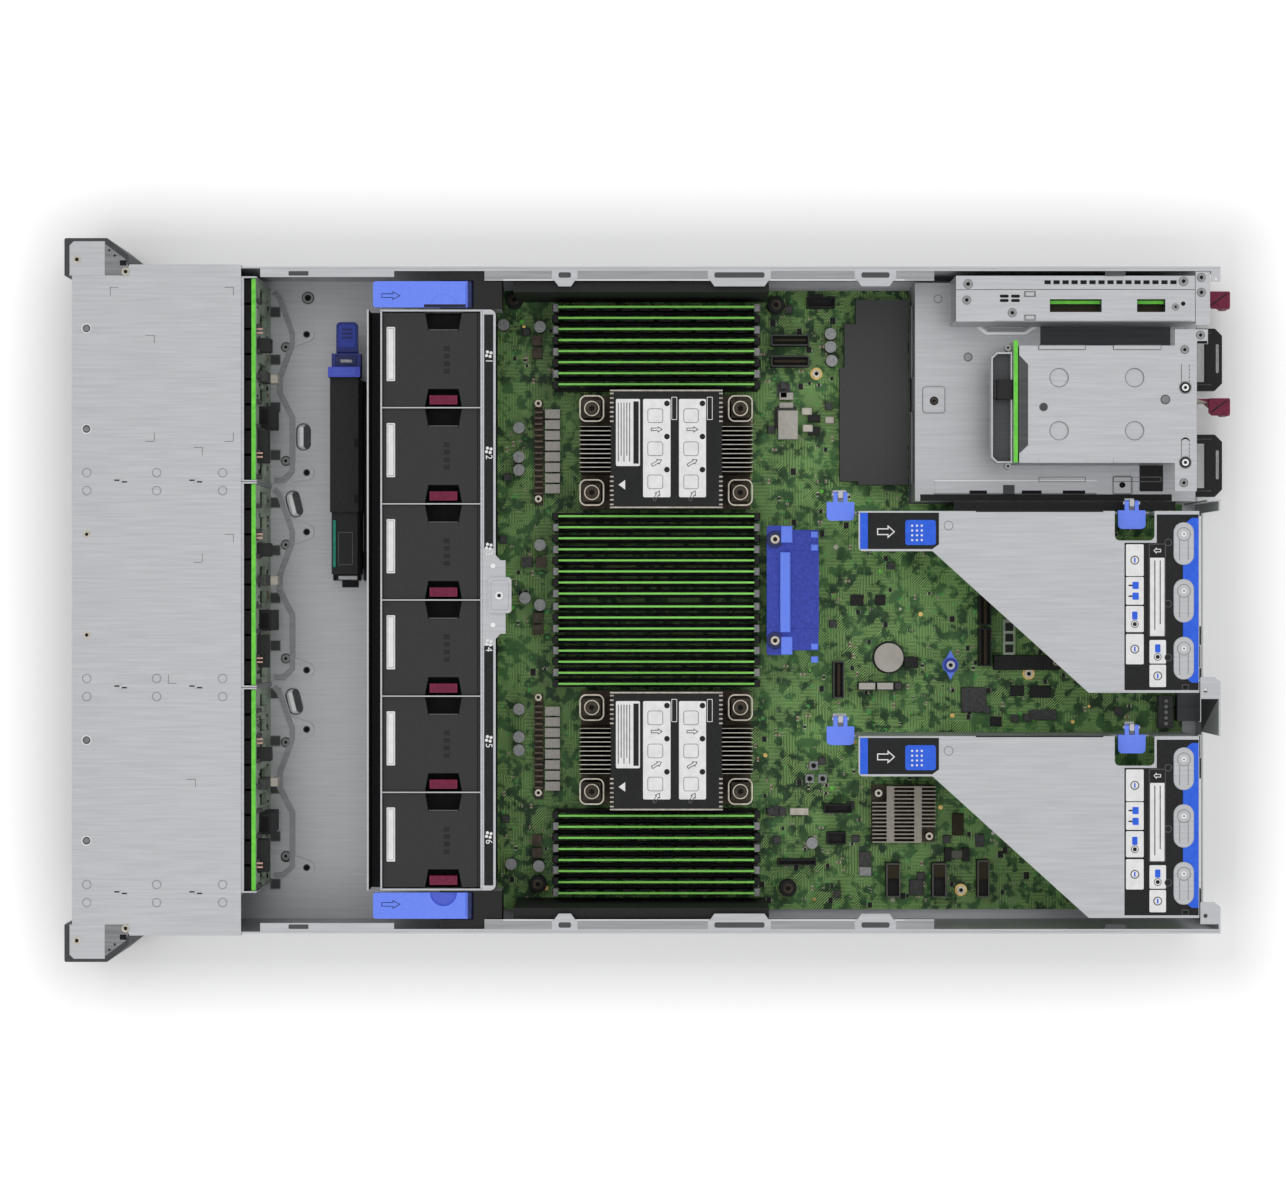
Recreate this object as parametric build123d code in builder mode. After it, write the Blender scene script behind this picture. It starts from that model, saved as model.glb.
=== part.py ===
from build123d import *
import os
from math import cos, radians, sin

# Two-unit rack server with its top panel off, in millimetres.
# The front faces -Y, the rear faces +Y, +Z is up, and the origin is the middle of the footprint.

# Driving dimensions of the case
server_height = 87.3
rack_width = 482.6
body_width = 445.0
body_front = -388.9
body_rear = 377.0
ear_front = -394.0
rear_reach = 394.0
sheet = 1.2
clear = 0.3
pin_clear = 0.05
seam = 0.1

# Rack ears
ear_back = -365.5
ear_slope_end = -351.1
ear_slope_inset = 11.3
ear_bezel_inner = 216.3
ear_hole_pitch = 465.1
ear_hole_radius = 3.3
ear_hole_height = 37.3
ear_pocket_depth = 22.0
ear_pocket_bottom = 24.0
ear_pocket_top = 66.0
lever_thickness = 3.0
lever_pivot_radius = 1.5
button_radius = 4.0
button_height = 76.0
button_travel = 1.5

# Drive bays
bay_count = 3
bay_pitch = 137.2
bay_left = -216.1
bay_gap = 0.4
bay_sheet = 1.0
bay_side_rear = -266.0
bay_top_rear = -274.5
cover_rear = -276.3
cover_lip_bottom = 70.0
drive_count = 8
drive_pitch = 16.8
drive_bezel_width = 16.4
drive_body_width = 15.0
drive_bezel_depth = 12.0
drive_rear = -273.0
drive_travel = 110.0
backplane_front = -269.7
backplane_thickness = 2.8
brace_thickness = 1.0
bead_width = 3.6
bead_height = 0.8
brace_hole_y = -241.9
brace_lobe_radius = 5.2
brace_hole_radius = 2.0

# Fan cage and fans
fan_count = 6
fan_pitch = 64.2
divider = 0.8
cage_floor_y0 = -189.8
cage_lip_y = -192.6
cage_front_wall_y = -183.6
cage_rear_wall_y = -116.7
cage_flange_rear = -106.6
cage_top = 84.5
channel_floor = 60.0
fan_front = -181.9
fan_rear = -117.3
fan_top = 83.0
fan_bore_radius = 29.0
fan_axis_height = 38.0
rotor_tip = 26.0
rotor_hub_radius = 13.0
rotor_shaft_radius = 1.5
blade_count = 5
blade_chord = 21.0
blade_root_pitch = 38.0
blade_tip_pitch = 58.0
blade_thickness = 2.0
pocket_outer_width = 24.8
pocket_inner_width = 20.4
pocket_length = 12.0
pocket_depth = 13.0

# Lift handles of the fan cage
handle_front = -188.4
handle_pivot_y = -125.4
handle_inner = 195.3
handle_outer = 212.7
handle_pivot_height = 82.0
handle_barrel_radius = 3.5
handle_pin_radius = 1.5
handle_thickness = 3.0
finger_notch_y = -141.4
finger_notch_radius = 9.0
finger_notch_depth = 1.6
bracket_rear = -102.5
bracket_outer = 219.0
bracket_bottom = 60.0

# System board and what stands on it
board_bottom = 7.0
board_thickness = 2.2
board_front = -109.0
board_rear = 365.0
board_half_width = 214.0
board_step_x = -66.5
board_step_y = 176.0
memory_pitch = 7.53
memory_per_group = 8
memory_inner_x = 4.4
memory_outer_x = 147.0
memory_middle_y = 0.85
memory_length = 133.35
memory_height = 31.25
memory_thickness = 1.3
socket_width = 5.8
socket_length = 140.8
socket_height = 7.0
slot_depth = 4.0
latch_length = 4.2
latch_top = 37.0
latch_width = 5.0
cpu_x = 101.3
cpu_y = 7.4
sink_width = 78.2
sink_block_length = 74.5
sink_length = 116.5
sink_wing_width = 30.5
sink_base_thickness = 5.0
sink_top = 75.0
fin_pitch = 3.05
fin_thickness = 0.6
sink_screw_pitch_x = 56.9
sink_screw_pitch_y = 100.7
inductor_pitch = 7.38
cap_radius = 4.0

# Rear end: power supplies, drive cages and risers
psu_left = -214.5
psu_width = 72.5
psu_pitch = 73.2
psu_bottom = 1.5
psu_top = 41.0
psu_front = 190.0
psu_rear = 368.5
psu_travel = 190.0
psu_handle_reach = 391.3
psu_bay_front = 177.1
psu_bay_rear = 368.0
psu_bay_top = 43.0
rear_cage_left = -169.8
rear_cage_right = -91.6
rear_cage_front = 242.9
rear_cage_rear = 346.1
rear_cage_top = 85.0
boot_cage_left = -216.4
boot_cage_right = -185.9
boot_cage_front = 200.7
boot_cage_rear = 360.2
riser_left = -59.4
riser_right = 61.9
riser_front = 135.6
riser_rear = 363.0
riser_neck_x = -32.6
riser_neck_y = 185.0
riser_slope_end_y = 289.3
riser_notch_front = 306.6
riser_notch_rear = 333.2
riser_notch_x = -39.7
riser_top = 85.0
riser_pitch = 150.3
riser_bottom = 23.5
riser_notch_floor = 62.0
slot_pitch = 20.32
slot_window = 12.0

half_width = body_width / 2
wall_inner = half_width - sheet
wall_top = server_height - sheet
board_top = board_bottom + board_thickness
bay_floor = sheet + bay_sheet
bay_ceiling = wall_top - bay_sheet


def block(x, y, z, mode=Mode.ADD):
    """Box between two corners, put into the part that is being made."""
    with Locations(((x[0] + x[1]) / 2, (y[0] + y[1]) / 2, (z[0] + z[1]) / 2)):
        Box(x[1] - x[0], y[1] - y[0], z[1] - z[0], mode=mode)


def around(middle, size):
    """Ends of a span of the given size about its middle."""
    return (middle - size / 2, middle + size / 2)


def save(part, name):
    """Label the finished piece and write it to its own file."""
    part.label = name
    export_step(part, "parts/" + name + ".step")
    print(name, round(part.volume / 1000, 2), "cm3")


os.makedirs("parts", exist_ok=True)

# Chassis tray: floor, side walls with their rolled top rails, and the posts under the board
front_rail_y = (-263.6, -174.3)
front_rail_width = 7.0
thin_rail_y = (-174.3, body_rear - sheet)
thin_rail_width = 3.0
deep_rail_y = (-101.5, 166.4)
deep_rail_width = 9.5
post_radius = 3.6
corner_tab_x = 212.5
corner_tab_y = 370.8
filler_x0 = bay_left + bay_count * bay_pitch + clear
tray_wall_z = (sheet + seam, wall_top)
rail_z = (wall_top - sheet, wall_top)
with BuildPart() as chassis_tray:
    block((-half_width, half_width), (body_front, body_rear), (0, sheet))
    for side in (-1, 1):
        block(sorted((side * wall_inner, side * half_width)), (body_front, body_rear), tray_wall_z)
        for rail_y, rail_width in (
            (front_rail_y, front_rail_width),
            (thin_rail_y, thin_rail_width),
            (deep_rail_y, deep_rail_width),
        ):
            block(sorted((side * (half_width - rail_width), side * (wall_inner - seam))), rail_y, rail_z)
    block((filler_x0, wall_inner - seam), (body_front, body_front + sheet), tray_wall_z)
    block((filler_x0, filler_x0 + sheet), (body_front + sheet + seam, cover_rear), tray_wall_z)
    block((-wall_inner + seam, -corner_tab_x), (corner_tab_y, body_rear), rail_z)
    with BuildSketch(Plane.XY.offset(wall_top)):
        with Locations((-corner_tab_x - 1.9, corner_tab_y + 3.4)):
            Circle(1.2)
    extrude(amount=-sheet, mode=Mode.SUBTRACT)
    with BuildSketch(Plane.XY.offset(sheet + seam)):
        with Locations((-200, -100), (0, -100), (200, -100), (-200, 78), (0, 78), (200, 78)):
            RegularPolygon(post_radius, 6)
        with Locations((-55, 235), (200, 235), (-55, 350), (200, 350), (-110, 168), (75, 168)):
            RegularPolygon(post_radius, 6)
    extrude(amount=board_bottom - sheet - seam)
save(chassis_tray.part, "chassis_tray")

# Cover over the drive bays, with lips down both sides
with BuildPart() as drive_bay_cover:
    block((-half_width, half_width), (body_front, cover_rear), (wall_top, server_height))
    for side_x in ((-half_width - sheet, -half_width), (half_width, half_width + sheet)):
        block(side_x, (ear_slope_end + clear, cover_rear), (cover_lip_bottom, server_height))
    with Locations(Plane.XY.offset(server_height)):
        with Locations((-181.1, -379.3), (-114.1, -379.3), (93.5, -379.3), (160.5, -379.3)):
            CounterSinkHole(radius=1.6, counter_sink_radius=3.0)
save(drive_bay_cover.part, "drive_bay_cover")

# Rear wall with its windows, beside the power supplies, with a return flange and two corner tabs
psu_bay_left = psu_left - clear - sheet
psu_bay_right = psu_left + psu_pitch + psu_width + clear + sheet
rear_wall_left = psu_bay_right + clear
io_bottom = board_top
io_height = 12.4
wall_cut_y = (body_rear - 2, body_rear + 1)
riser_tab_x = (riser_right - 10.5, riser_right + 4.1)
with BuildPart() as rear_wall:
    block((rear_wall_left, wall_inner), (body_rear - sheet, body_rear), (sheet, wall_top))
    block((rear_wall_left, rear_wall_left + sheet), (psu_bay_rear, body_rear - sheet), (sheet, wall_top))
    for shift in (0, riser_pitch):
        block((riser_left + shift - clear, riser_right + shift + clear), wall_cut_y,
              (riser_bottom - clear, wall_top + 1), Mode.SUBTRACT)
    for window in ((-58.0, 18.0), (123.0, 199.0), (31.0, 47.0), (55.0, 84.0), (93.0, 109.0)):
        block(window, wall_cut_y, (io_bottom, io_bottom + io_height), Mode.SUBTRACT)
    for shift in (0, riser_pitch):
        with BuildSketch(Plane.XY.offset(wall_top - sheet)):
            with BuildLine():
                Polyline(
                    (riser_tab_x[0] + shift, riser_rear + 2 * clear),
                    (riser_tab_x[0] + shift, body_rear - 4.0),
                    (riser_tab_x[0] + 3.0 + shift, body_rear),
                    (riser_tab_x[1] + shift, body_rear),
                    (riser_tab_x[1] + shift, riser_rear + 2 * clear),
                    close=True,
                )
            make_face()
            with Locations((riser_tab_x[0] + 9.0 + shift, riser_rear + 4.0)):
                Circle(1.4, mode=Mode.SUBTRACT)
        extrude(amount=sheet)
save(rear_wall.part, "rear_wall")

# Rack ears, each a moulded body with a lever pocket and the rack screw's hole behind the lever
ear_outer = rack_width / 2
pocket_x = (225.0, 239.2)
pivot_x = pocket_x[0] + clear + lever_pivot_radius
pivot_y = ear_front + 0.6 + lever_pivot_radius
lever_x1 = pocket_x[1] - clear
button_x = 231.0
for name, side in (("rack_ear_left", -1), ("rack_ear_right", 1)):
    with BuildPart() as rack_ear:
        with BuildSketch() as outline:
            with BuildLine():
                Polyline(
                    (side * ear_bezel_inner, ear_front),
                    (side * ear_outer, ear_front),
                    (side * ear_outer, ear_back),
                    (side * (ear_outer - ear_slope_inset), ear_slope_end),
                    (side * half_width, ear_slope_end),
                    (side * half_width, body_front),
                    (side * ear_bezel_inner, body_front),
                    close=True,
                )
            make_face()
            fillet(outline.vertices().sort_by(Axis.Y)[:2].sort_by(Axis.X)[0 if side < 0 else -1], 1.2)
        extrude(amount=server_height)
        pocket_side = sorted((side * pocket_x[0], side * pocket_x[1]))
        block(pocket_side, (ear_front - 1, ear_front + ear_pocket_depth),
              (ear_pocket_bottom, ear_pocket_top), Mode.SUBTRACT)
        with BuildSketch(Plane.XZ.offset(-ear_front)):
            with Locations((side * ear_hole_pitch / 2, ear_hole_height)):
                Circle(ear_hole_radius)
        extrude(amount=-(ear_slope_end - ear_front + 1), mode=Mode.SUBTRACT)
        with BuildSketch(Plane.XY.offset(ear_pocket_bottom - 2)):
            with Locations((side * pivot_x, pivot_y)):
                Circle(lever_pivot_radius - 0.6 + pin_clear)
        extrude(amount=ear_pocket_top - ear_pocket_bottom + 4, mode=Mode.SUBTRACT)
        if side > 0:
            with BuildSketch(Plane.XZ.offset(-ear_front)):
                with Locations((button_x, button_height)):
                    Circle(button_radius + clear)
            extrude(amount=-8.0, mode=Mode.SUBTRACT)
    save(rack_ear.part, name)

# Levers in the ears; each turns out on its own pins
for name, side in (("ear_lever_left", -1), ("ear_lever_right", 1)):
    with BuildPart() as ear_lever:
        with BuildSketch(Plane.XY.offset(ear_pocket_bottom + clear)):
            with Locations((side * pivot_x, pivot_y)):
                Circle(lever_pivot_radius)
            with Locations((side * (pivot_x + lever_x1) / 2, pivot_y)):
                Rectangle(lever_x1 - pivot_x, lever_thickness)
        extrude(amount=ear_pocket_top - ear_pocket_bottom - 2 * clear)
        with BuildSketch(Plane.XY.offset(ear_pocket_bottom - 1.5)):
            with Locations((side * pivot_x, pivot_y)):
                Circle(lever_pivot_radius - 0.6)
        extrude(amount=ear_pocket_top - ear_pocket_bottom + 3)
    save(ear_lever.part, name)

# Power button in the right ear
with BuildPart() as power_button:
    with BuildSketch(Plane.XZ.offset(-ear_front)):
        with Locations((button_x, button_height)):
            Circle(button_radius)
    extrude(amount=-(8.0 - button_travel - clear))
save(power_button.part, "power_button")

# Drive cages: three open boxes, each with a brace that runs out over the floor behind it
lobe_offsets = (31.4, 127.4)
with BuildPart() as drive_cages:
    for bay in range(bay_count):
        x0 = bay_left + bay * bay_pitch + bay_gap / 2
        x1 = x0 + bay_pitch - bay_gap
        block((x0, x1), (body_front, bay_side_rear), (sheet, wall_top))
        block((x0 + bay_sheet, x1 - bay_sheet), (body_front - 1, bay_side_rear + 1),
              (bay_floor, bay_ceiling), Mode.SUBTRACT)
        block((x0 + bay_sheet, x1 - bay_sheet), (bay_top_rear, bay_side_rear + 1),
              (bay_ceiling - 1, wall_top + 1), Mode.SUBTRACT)
        with BuildSketch(Plane.XY.offset(sheet)):
            with BuildLine():
                brace = Polyline(
                    (x0, bay_side_rear),
                    (x0 + 3.6, -258.9),
                    (x0 + 30.0, -249.9),
                    (x0 + 38.0, -249.9),
                    (x0 + 61.9, -258.6),
                    (x0 + 71.7, -258.6),
                    (x0 + 89.0, -249.9),
                    (x0 + 127.2, -249.9),
                    (x0 + 135.0, -257.5),
                    (x0 + 135.0, bay_side_rear),
                    close=True,
                )
            make_face()
            for lobe in lobe_offsets:
                with Locations((x0 + lobe, brace_hole_y)):
                    Circle(brace_lobe_radius)
                with BuildLine():
                    Polyline(
                        (x0 + lobe - 9.0, -252.0),
                        (x0 + lobe - brace_lobe_radius * 0.87, brace_hole_y + brace_lobe_radius * 0.5),
                        (x0 + lobe + brace_lobe_radius * 0.87, brace_hole_y + brace_lobe_radius * 0.5),
                        (x0 + min(lobe + 9.0, 134.0), -252.0),
                        close=True,
                    )
                make_face()
                with Locations((x0 + lobe, brace_hole_y)):
                    Circle(brace_hole_radius, mode=Mode.SUBTRACT)
        extrude(amount=brace_thickness)
        with BuildSketch(Plane.XY.offset(sheet + brace_thickness)):
            with BuildLine() as bead:
                Polyline(
                    (x0 + 2.0, -264.5),
                    (x0 + 5.5, -261.0),
                    (x0 + 31.0, -251.9),
                    (x0 + 37.5, -251.9),
                    (x0 + 61.5, -260.6),
                    (x0 + 72.1, -260.6),
                    (x0 + 89.5, -251.9),
                    (x0 + 126.5, -251.9),
                    (x0 + 132.6, -258.5),
                    (x0 + 132.6, -264.5),
                )
            trace(bead.line, line_width=bead_width)
        extrude(amount=bead_height)
save(drive_cages.part, "drive_cages")

# Backplanes behind the drive cages, with an air window behind each drive, and the rear one
window_width = 8.4
window_bottom = 30.0
window_top = 60.0
rear_plane_y = 239.2
with BuildPart() as drive_backplanes:
    for bay in range(bay_count):
        x0 = bay_left + bay * bay_pitch + bay_gap / 2 + bay_sheet
        x1 = x0 + bay_pitch - bay_gap - 2 * bay_sheet
        block((x0 + clear, x1 - clear), (backplane_front, backplane_front + backplane_thickness),
              (bay_floor + clear, 84.0))
        for drive in range(drive_count):
            middle = (x0 + x1) / 2 + (drive - (drive_count - 1) / 2) * drive_pitch
            block(around(middle, window_width), (backplane_front - 1, backplane_front + 4),
                  (window_bottom, window_top), Mode.SUBTRACT)
        power_x = x0 + 44.0
        block(around(power_x, 9.0), (backplane_front + backplane_thickness, -258.0), (64.0, 78.0))
        block(around(x0 + 112.0, 22.0), (backplane_front + backplane_thickness, -259.5), (66.0, 77.0))
    block((-173.3, -91.9), (rear_plane_y, rear_plane_y + backplane_thickness), (psu_bay_top, rear_cage_top))
save(drive_backplanes.part, "drive_backplanes")

# Drives: eight carriers to a bank, each a bezel with a finger recess and the drive behind it
drive_bottom = bay_floor + clear
drive_top = bay_ceiling - clear
for bay in range(bay_count):
    x_middle = bay_left + (bay + 0.5) * bay_pitch
    with BuildPart() as drive_bank:
        for drive in range(drive_count):
            middle = x_middle + (drive - (drive_count - 1) / 2) * drive_pitch
            bezel_front = body_front + 0.5
            bezel_rear = bezel_front + drive_bezel_depth
            block(around(middle, drive_bezel_width), (bezel_front, bezel_rear), (drive_bottom, drive_top))
            block(around(middle, drive_body_width), (bezel_rear, drive_rear), (drive_bottom, 79.0))
            block(around(middle, 11.0), (bezel_front - 1, bezel_front + 2.5), (12.0, 66.0), Mode.SUBTRACT)
    save(drive_bank.part, f"drive_bank_{bay + 1}")

# Fan cage: sheets riveted edge to edge, with a front channel, a rear flange, a centre latch and two brackets
cage_floor_z = sheet + clear
cage_inner = fan_count * fan_pitch / 2 + 0.1
cage_outer = cage_inner + sheet
fan_x = [(n - (fan_count - 1) / 2) * fan_pitch for n in range(fan_count)]
cage_wall_z = (cage_floor_z + sheet + seam, cage_top)
divider_y = (cage_front_wall_y + sheet + seam, cage_rear_wall_y - seam)
with BuildPart() as fan_cage:
    block((-cage_outer, cage_outer), (cage_floor_y0, cage_flange_rear), (cage_floor_z, cage_floor_z + sheet))
    for side_x in ((-cage_outer, -cage_inner), (cage_inner, cage_outer)):
        block(side_x, divider_y, cage_wall_z)
    for wall_y in (cage_front_wall_y, cage_rear_wall_y):
        with BuildSketch(Plane.XZ.offset(-wall_y)):
            with Locations((0, sum(cage_wall_z) / 2)):
                Rectangle(2 * cage_outer, cage_wall_z[1] - cage_wall_z[0])
            with Locations(*[(x, fan_axis_height) for x in fan_x]):
                Circle(fan_bore_radius - 1, mode=Mode.SUBTRACT)
        extrude(amount=-sheet)
    for n in range(1, fan_count):
        block(around((n - fan_count / 2) * fan_pitch, divider), divider_y, cage_wall_z)
    channel_y = (cage_lip_y, cage_front_wall_y - seam)
    block((-cage_outer, cage_outer), channel_y, (channel_floor, channel_floor + sheet))
    block((-cage_outer, cage_outer), (cage_lip_y, cage_lip_y + sheet), (channel_floor, cage_top))
    flange_front = cage_rear_wall_y + sheet + seam
    with BuildSketch(Plane.XY.offset(cage_top - sheet)) as flange:
        with Locations((0, (flange_front + cage_flange_rear) / 2)):
            Rectangle(2 * cage_outer, cage_flange_rear - flange_front)
        fillet(flange.vertices().group_by(Axis.Y)[-1], 4.0)
        with BuildLine():
            Polyline((-33.6, -110.0), (-26.5, -103.4), (-26.5, -100.0), (22.5, -100.0),
                     (22.5, -103.4), (29.5, -110.0), close=True)
        make_face()
    extrude(amount=sheet)
    with BuildSketch(Plane.XY.offset(cage_top + seam)) as latch_block:
        with Locations((-3.2, -103.7)):
            RectangleRounded(24.0, 15.4, 2.5)
    extrude(amount=1.4)
    for side in (-1, 1):
        outer_cheek = sorted((side * (handle_outer + clear + 0.3), side * bracket_outer))
        inner_cheek = sorted((side * (cage_outer + seam), side * (handle_inner - clear)))
        body = sorted((side * (cage_outer + seam), side * bracket_outer))
        cheek_y = (handle_pivot_y - 18.4, handle_pivot_y + 5)
        block(body, (handle_pivot_y + handle_barrel_radius + 0.5, bracket_rear), (bracket_bottom, cage_top))
        block(body, cheek_y, (bracket_bottom, 72.0))
        block(outer_cheek, cheek_y, (bracket_bottom, cage_top))
        block(inner_cheek, cheek_y, (bracket_bottom, cage_top))
        with BuildSketch(Plane.YZ.offset(side * (handle_inner - 1.5))):
            with Locations((handle_pivot_y, handle_pivot_height)):
                Circle(handle_pin_radius + pin_clear)
        extrude(amount=side * (handle_outer - handle_inner + 3.0), mode=Mode.SUBTRACT)
save(fan_cage.part, "fan_cage")

# Fan modules: a square frame with a round duct and a motor seat on struts, and a lid with two finger pockets
fan_width = fan_pitch - divider - 2 * clear
seat_y0 = fan_rear - 6.5
seat_y1 = fan_rear - 1.5
pocket_y = -141.6
housing_bottom = cage_floor_z + sheet + clear
lid_bottom = fan_top - pocket_depth
for n, x in enumerate(fan_x):
    with BuildPart() as fan_housing:
        block(around(x, fan_width), (fan_front, fan_rear), (housing_bottom, lid_bottom - seam))
        block(around(x, fan_width), (fan_front, fan_rear), (lid_bottom, fan_top))
        with BuildSketch(Plane.XZ.offset(-fan_front)):
            with Locations((x, fan_axis_height)):
                Circle(fan_bore_radius)
        extrude(amount=-(fan_rear - fan_front), mode=Mode.SUBTRACT)
        with BuildSketch(Plane.XZ.offset(-seat_y0)):
            with Locations((x, fan_axis_height)):
                Circle(rotor_hub_radius)
                for turn in (90, 210, 330):
                    with Locations(Location((21.0 * cos(radians(turn)), 21.0 * sin(radians(turn)), 0),
                                            (0, 0, turn))):
                        Rectangle(19.0, 3.0)
                Circle(rotor_shaft_radius + pin_clear, mode=Mode.SUBTRACT)
        extrude(amount=-(seat_y1 - seat_y0))
        with BuildSketch(Plane.XY.offset(fan_top)):
            for side in (-1, 1):
                edge = x + side * fan_width / 2
                with BuildLine():
                    Polyline(
                        (edge, pocket_y - pocket_outer_width / 2),
                        (edge - side * pocket_length, pocket_y - pocket_inner_width / 2),
                        (edge - side * pocket_length, pocket_y + pocket_inner_width / 2),
                        (edge, pocket_y + pocket_outer_width / 2),
                        close=True,
                    )
                make_face()
        extrude(amount=-pocket_depth, mode=Mode.SUBTRACT)
        block(around(x + fan_width / 2 - 4.6, 6.0), around(pocket_y, 18.4), (lid_bottom, fan_top))
    save(fan_housing.part, f"fan_housing_{n + 1}")

# Fan rotors: hub, shaft and twisted blades
rotor_front = -160.0
rotor_rear = seat_y0 - 1.0
blade_middle = (rotor_front + rotor_rear) / 2
for n, x in enumerate(fan_x):
    with BuildPart() as fan_rotor:
        with BuildSketch(Plane.XZ.offset(-rotor_front)):
            with Locations((x, fan_axis_height)):
                Circle(rotor_hub_radius)
        extrude(amount=-(rotor_rear - rotor_front))
        with BuildSketch(Plane.XZ.offset(-rotor_rear)):
            with Locations((x, fan_axis_height)):
                Circle(rotor_shaft_radius)
        extrude(amount=-(seat_y1 - rotor_rear))
        for blade in range(blade_count):
            turn = radians(360.0 * blade / blade_count + 12.0 * n)
            outward = Vector(cos(turn), 0, sin(turn))
            along = Vector(-sin(turn), 0, cos(turn))
            sections = []
            for radius, pitch in ((rotor_hub_radius - 1.0, blade_root_pitch), (rotor_tip, blade_tip_pitch)):
                chord_dir = Vector(0, 1, 0) * cos(radians(pitch)) + along * sin(radians(pitch))
                centre = Vector(x, blade_middle, fan_axis_height) + outward * radius
                with BuildSketch(Plane(origin=centre, x_dir=chord_dir, z_dir=outward)) as section:
                    Rectangle(blade_chord, blade_thickness)
                sections.append(section.sketch)
            loft(sections, ruled=True)
    save(fan_rotor.part, f"fan_rotor_{n + 1}")

# Lift handles, flat at rest and turned up about the barrel at their rear end
for name, side in (("fan_cage_handle_left", -1), ("fan_cage_handle_right", 1)):
    with BuildPart() as handle:
        bar_x = sorted((side * handle_inner, side * handle_outer))
        bar_z = (handle_pivot_height + handle_barrel_radius - handle_thickness,
                 handle_pivot_height + handle_barrel_radius)
        block(bar_x, (handle_front, handle_pivot_y), bar_z)
        fillet(handle.edges().filter_by(Axis.Z).group_by(Axis.Y)[0], 2.0)
        with BuildSketch(Plane.XY.offset(bar_z[1])):
            with Locations((side * handle_inner, finger_notch_y)):
                Circle(finger_notch_radius)
        extrude(amount=-finger_notch_depth, mode=Mode.SUBTRACT)
        with BuildSketch(Plane.YZ.offset(bar_x[0])):
            with Locations((handle_pivot_y, handle_pivot_height)):
                Circle(handle_barrel_radius)
        extrude(amount=handle_outer - handle_inner)
        with BuildSketch(Plane.YZ.offset(bar_x[0] - 1.2)):
            with Locations((handle_pivot_y, handle_pivot_height)):
                Circle(handle_pin_radius)
        extrude(amount=handle_outer - handle_inner + 2.4)
    save(handle.part, name)

# System board, an L-shaped panel that leaves room for the power supplies
with BuildPart() as system_board:
    with BuildSketch(Plane.XY.offset(board_bottom)):
        with BuildLine():
            Polyline(
                (-board_half_width, board_front),
                (board_half_width, board_front),
                (board_half_width, board_rear),
                (board_step_x, board_rear),
                (board_step_x, board_step_y),
                (-board_half_width, board_step_y),
                close=True,
            )
        make_face()
    extrude(amount=board_thickness)
save(system_board.part, "system_board")

# Processor sockets, processors and heat sinks
socket_frame_top = board_top + 5.0
cpu_bottom = board_top + 2.0
cpu_top = board_top + 7.8
with BuildPart() as processor_sockets:
    for side in (-1, 1):
        block(around(side * cpu_x, 76.0), around(cpu_y, 112.0), (board_top, socket_frame_top))
        block(around(side * cpu_x, 58.0), around(cpu_y, 79.0), (cpu_bottom, socket_frame_top + 1),
              Mode.SUBTRACT)
save(processor_sockets.part, "processor_sockets")

with BuildPart() as processors:
    for side in (-1, 1):
        block(around(side * cpu_x, 56.5), around(cpu_y, 77.5), (cpu_bottom, cpu_bottom + 1.8))
        block(around(side * cpu_x, 46.0), around(cpu_y, 66.0), (cpu_bottom + 1.8, cpu_top))
save(processors.part, "processors")

fins = int(sink_width / fin_pitch)
screw_z = 50.0
screw_radius = 4.8
with BuildPart() as heat_sinks:
    for side in (-1, 1):
        with BuildSketch(Plane.XZ.offset(-(cpu_y - sink_length / 2))):
            with Locations((side * cpu_x, cpu_top + sink_base_thickness / 2)):
                Rectangle(sink_width, sink_base_thickness)
            with Locations((side * cpu_x, (cpu_top + sink_top) / 2)):
                with GridLocations(fin_pitch, 1, fins, 1):
                    Rectangle(fin_thickness, sink_top - cpu_top)
        extrude(amount=-sink_length)
        corner_x = (sink_width + sink_wing_width) / 4
        corner_y = (sink_length + sink_block_length) / 4
        with Locations(*[(side * cpu_x + u * corner_x, cpu_y + v * corner_y, sink_top)
                         for u in (-1, 1) for v in (-1, 1)]):
            Box((sink_width - sink_wing_width) / 2, (sink_length - sink_block_length) / 2,
                sink_top - cpu_top - sink_base_thickness, mode=Mode.SUBTRACT,
                align=(Align.CENTER, Align.CENTER, Align.MAX))
        for u in (-1, 1):
            for v in (-1, 1):
                block(around(side * cpu_x + u * sink_screw_pitch_x / 2, 12.0),
                      around(cpu_y + v * sink_screw_pitch_y / 2, 12.0),
                      (cpu_top + sink_base_thickness, screw_z))
        block(around(side * cpu_x, sink_width), around(cpu_y, sink_block_length), (sink_top, sink_top + 0.8))
        with BuildSketch(Plane.XY.offset(screw_z)):
            with Locations((side * cpu_x, cpu_y)):
                with GridLocations(sink_screw_pitch_x, sink_screw_pitch_y, 2, 2):
                    Circle(screw_radius)
        extrude(amount=4.0)
save(heat_sinks.part, "heat_sinks")

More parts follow.
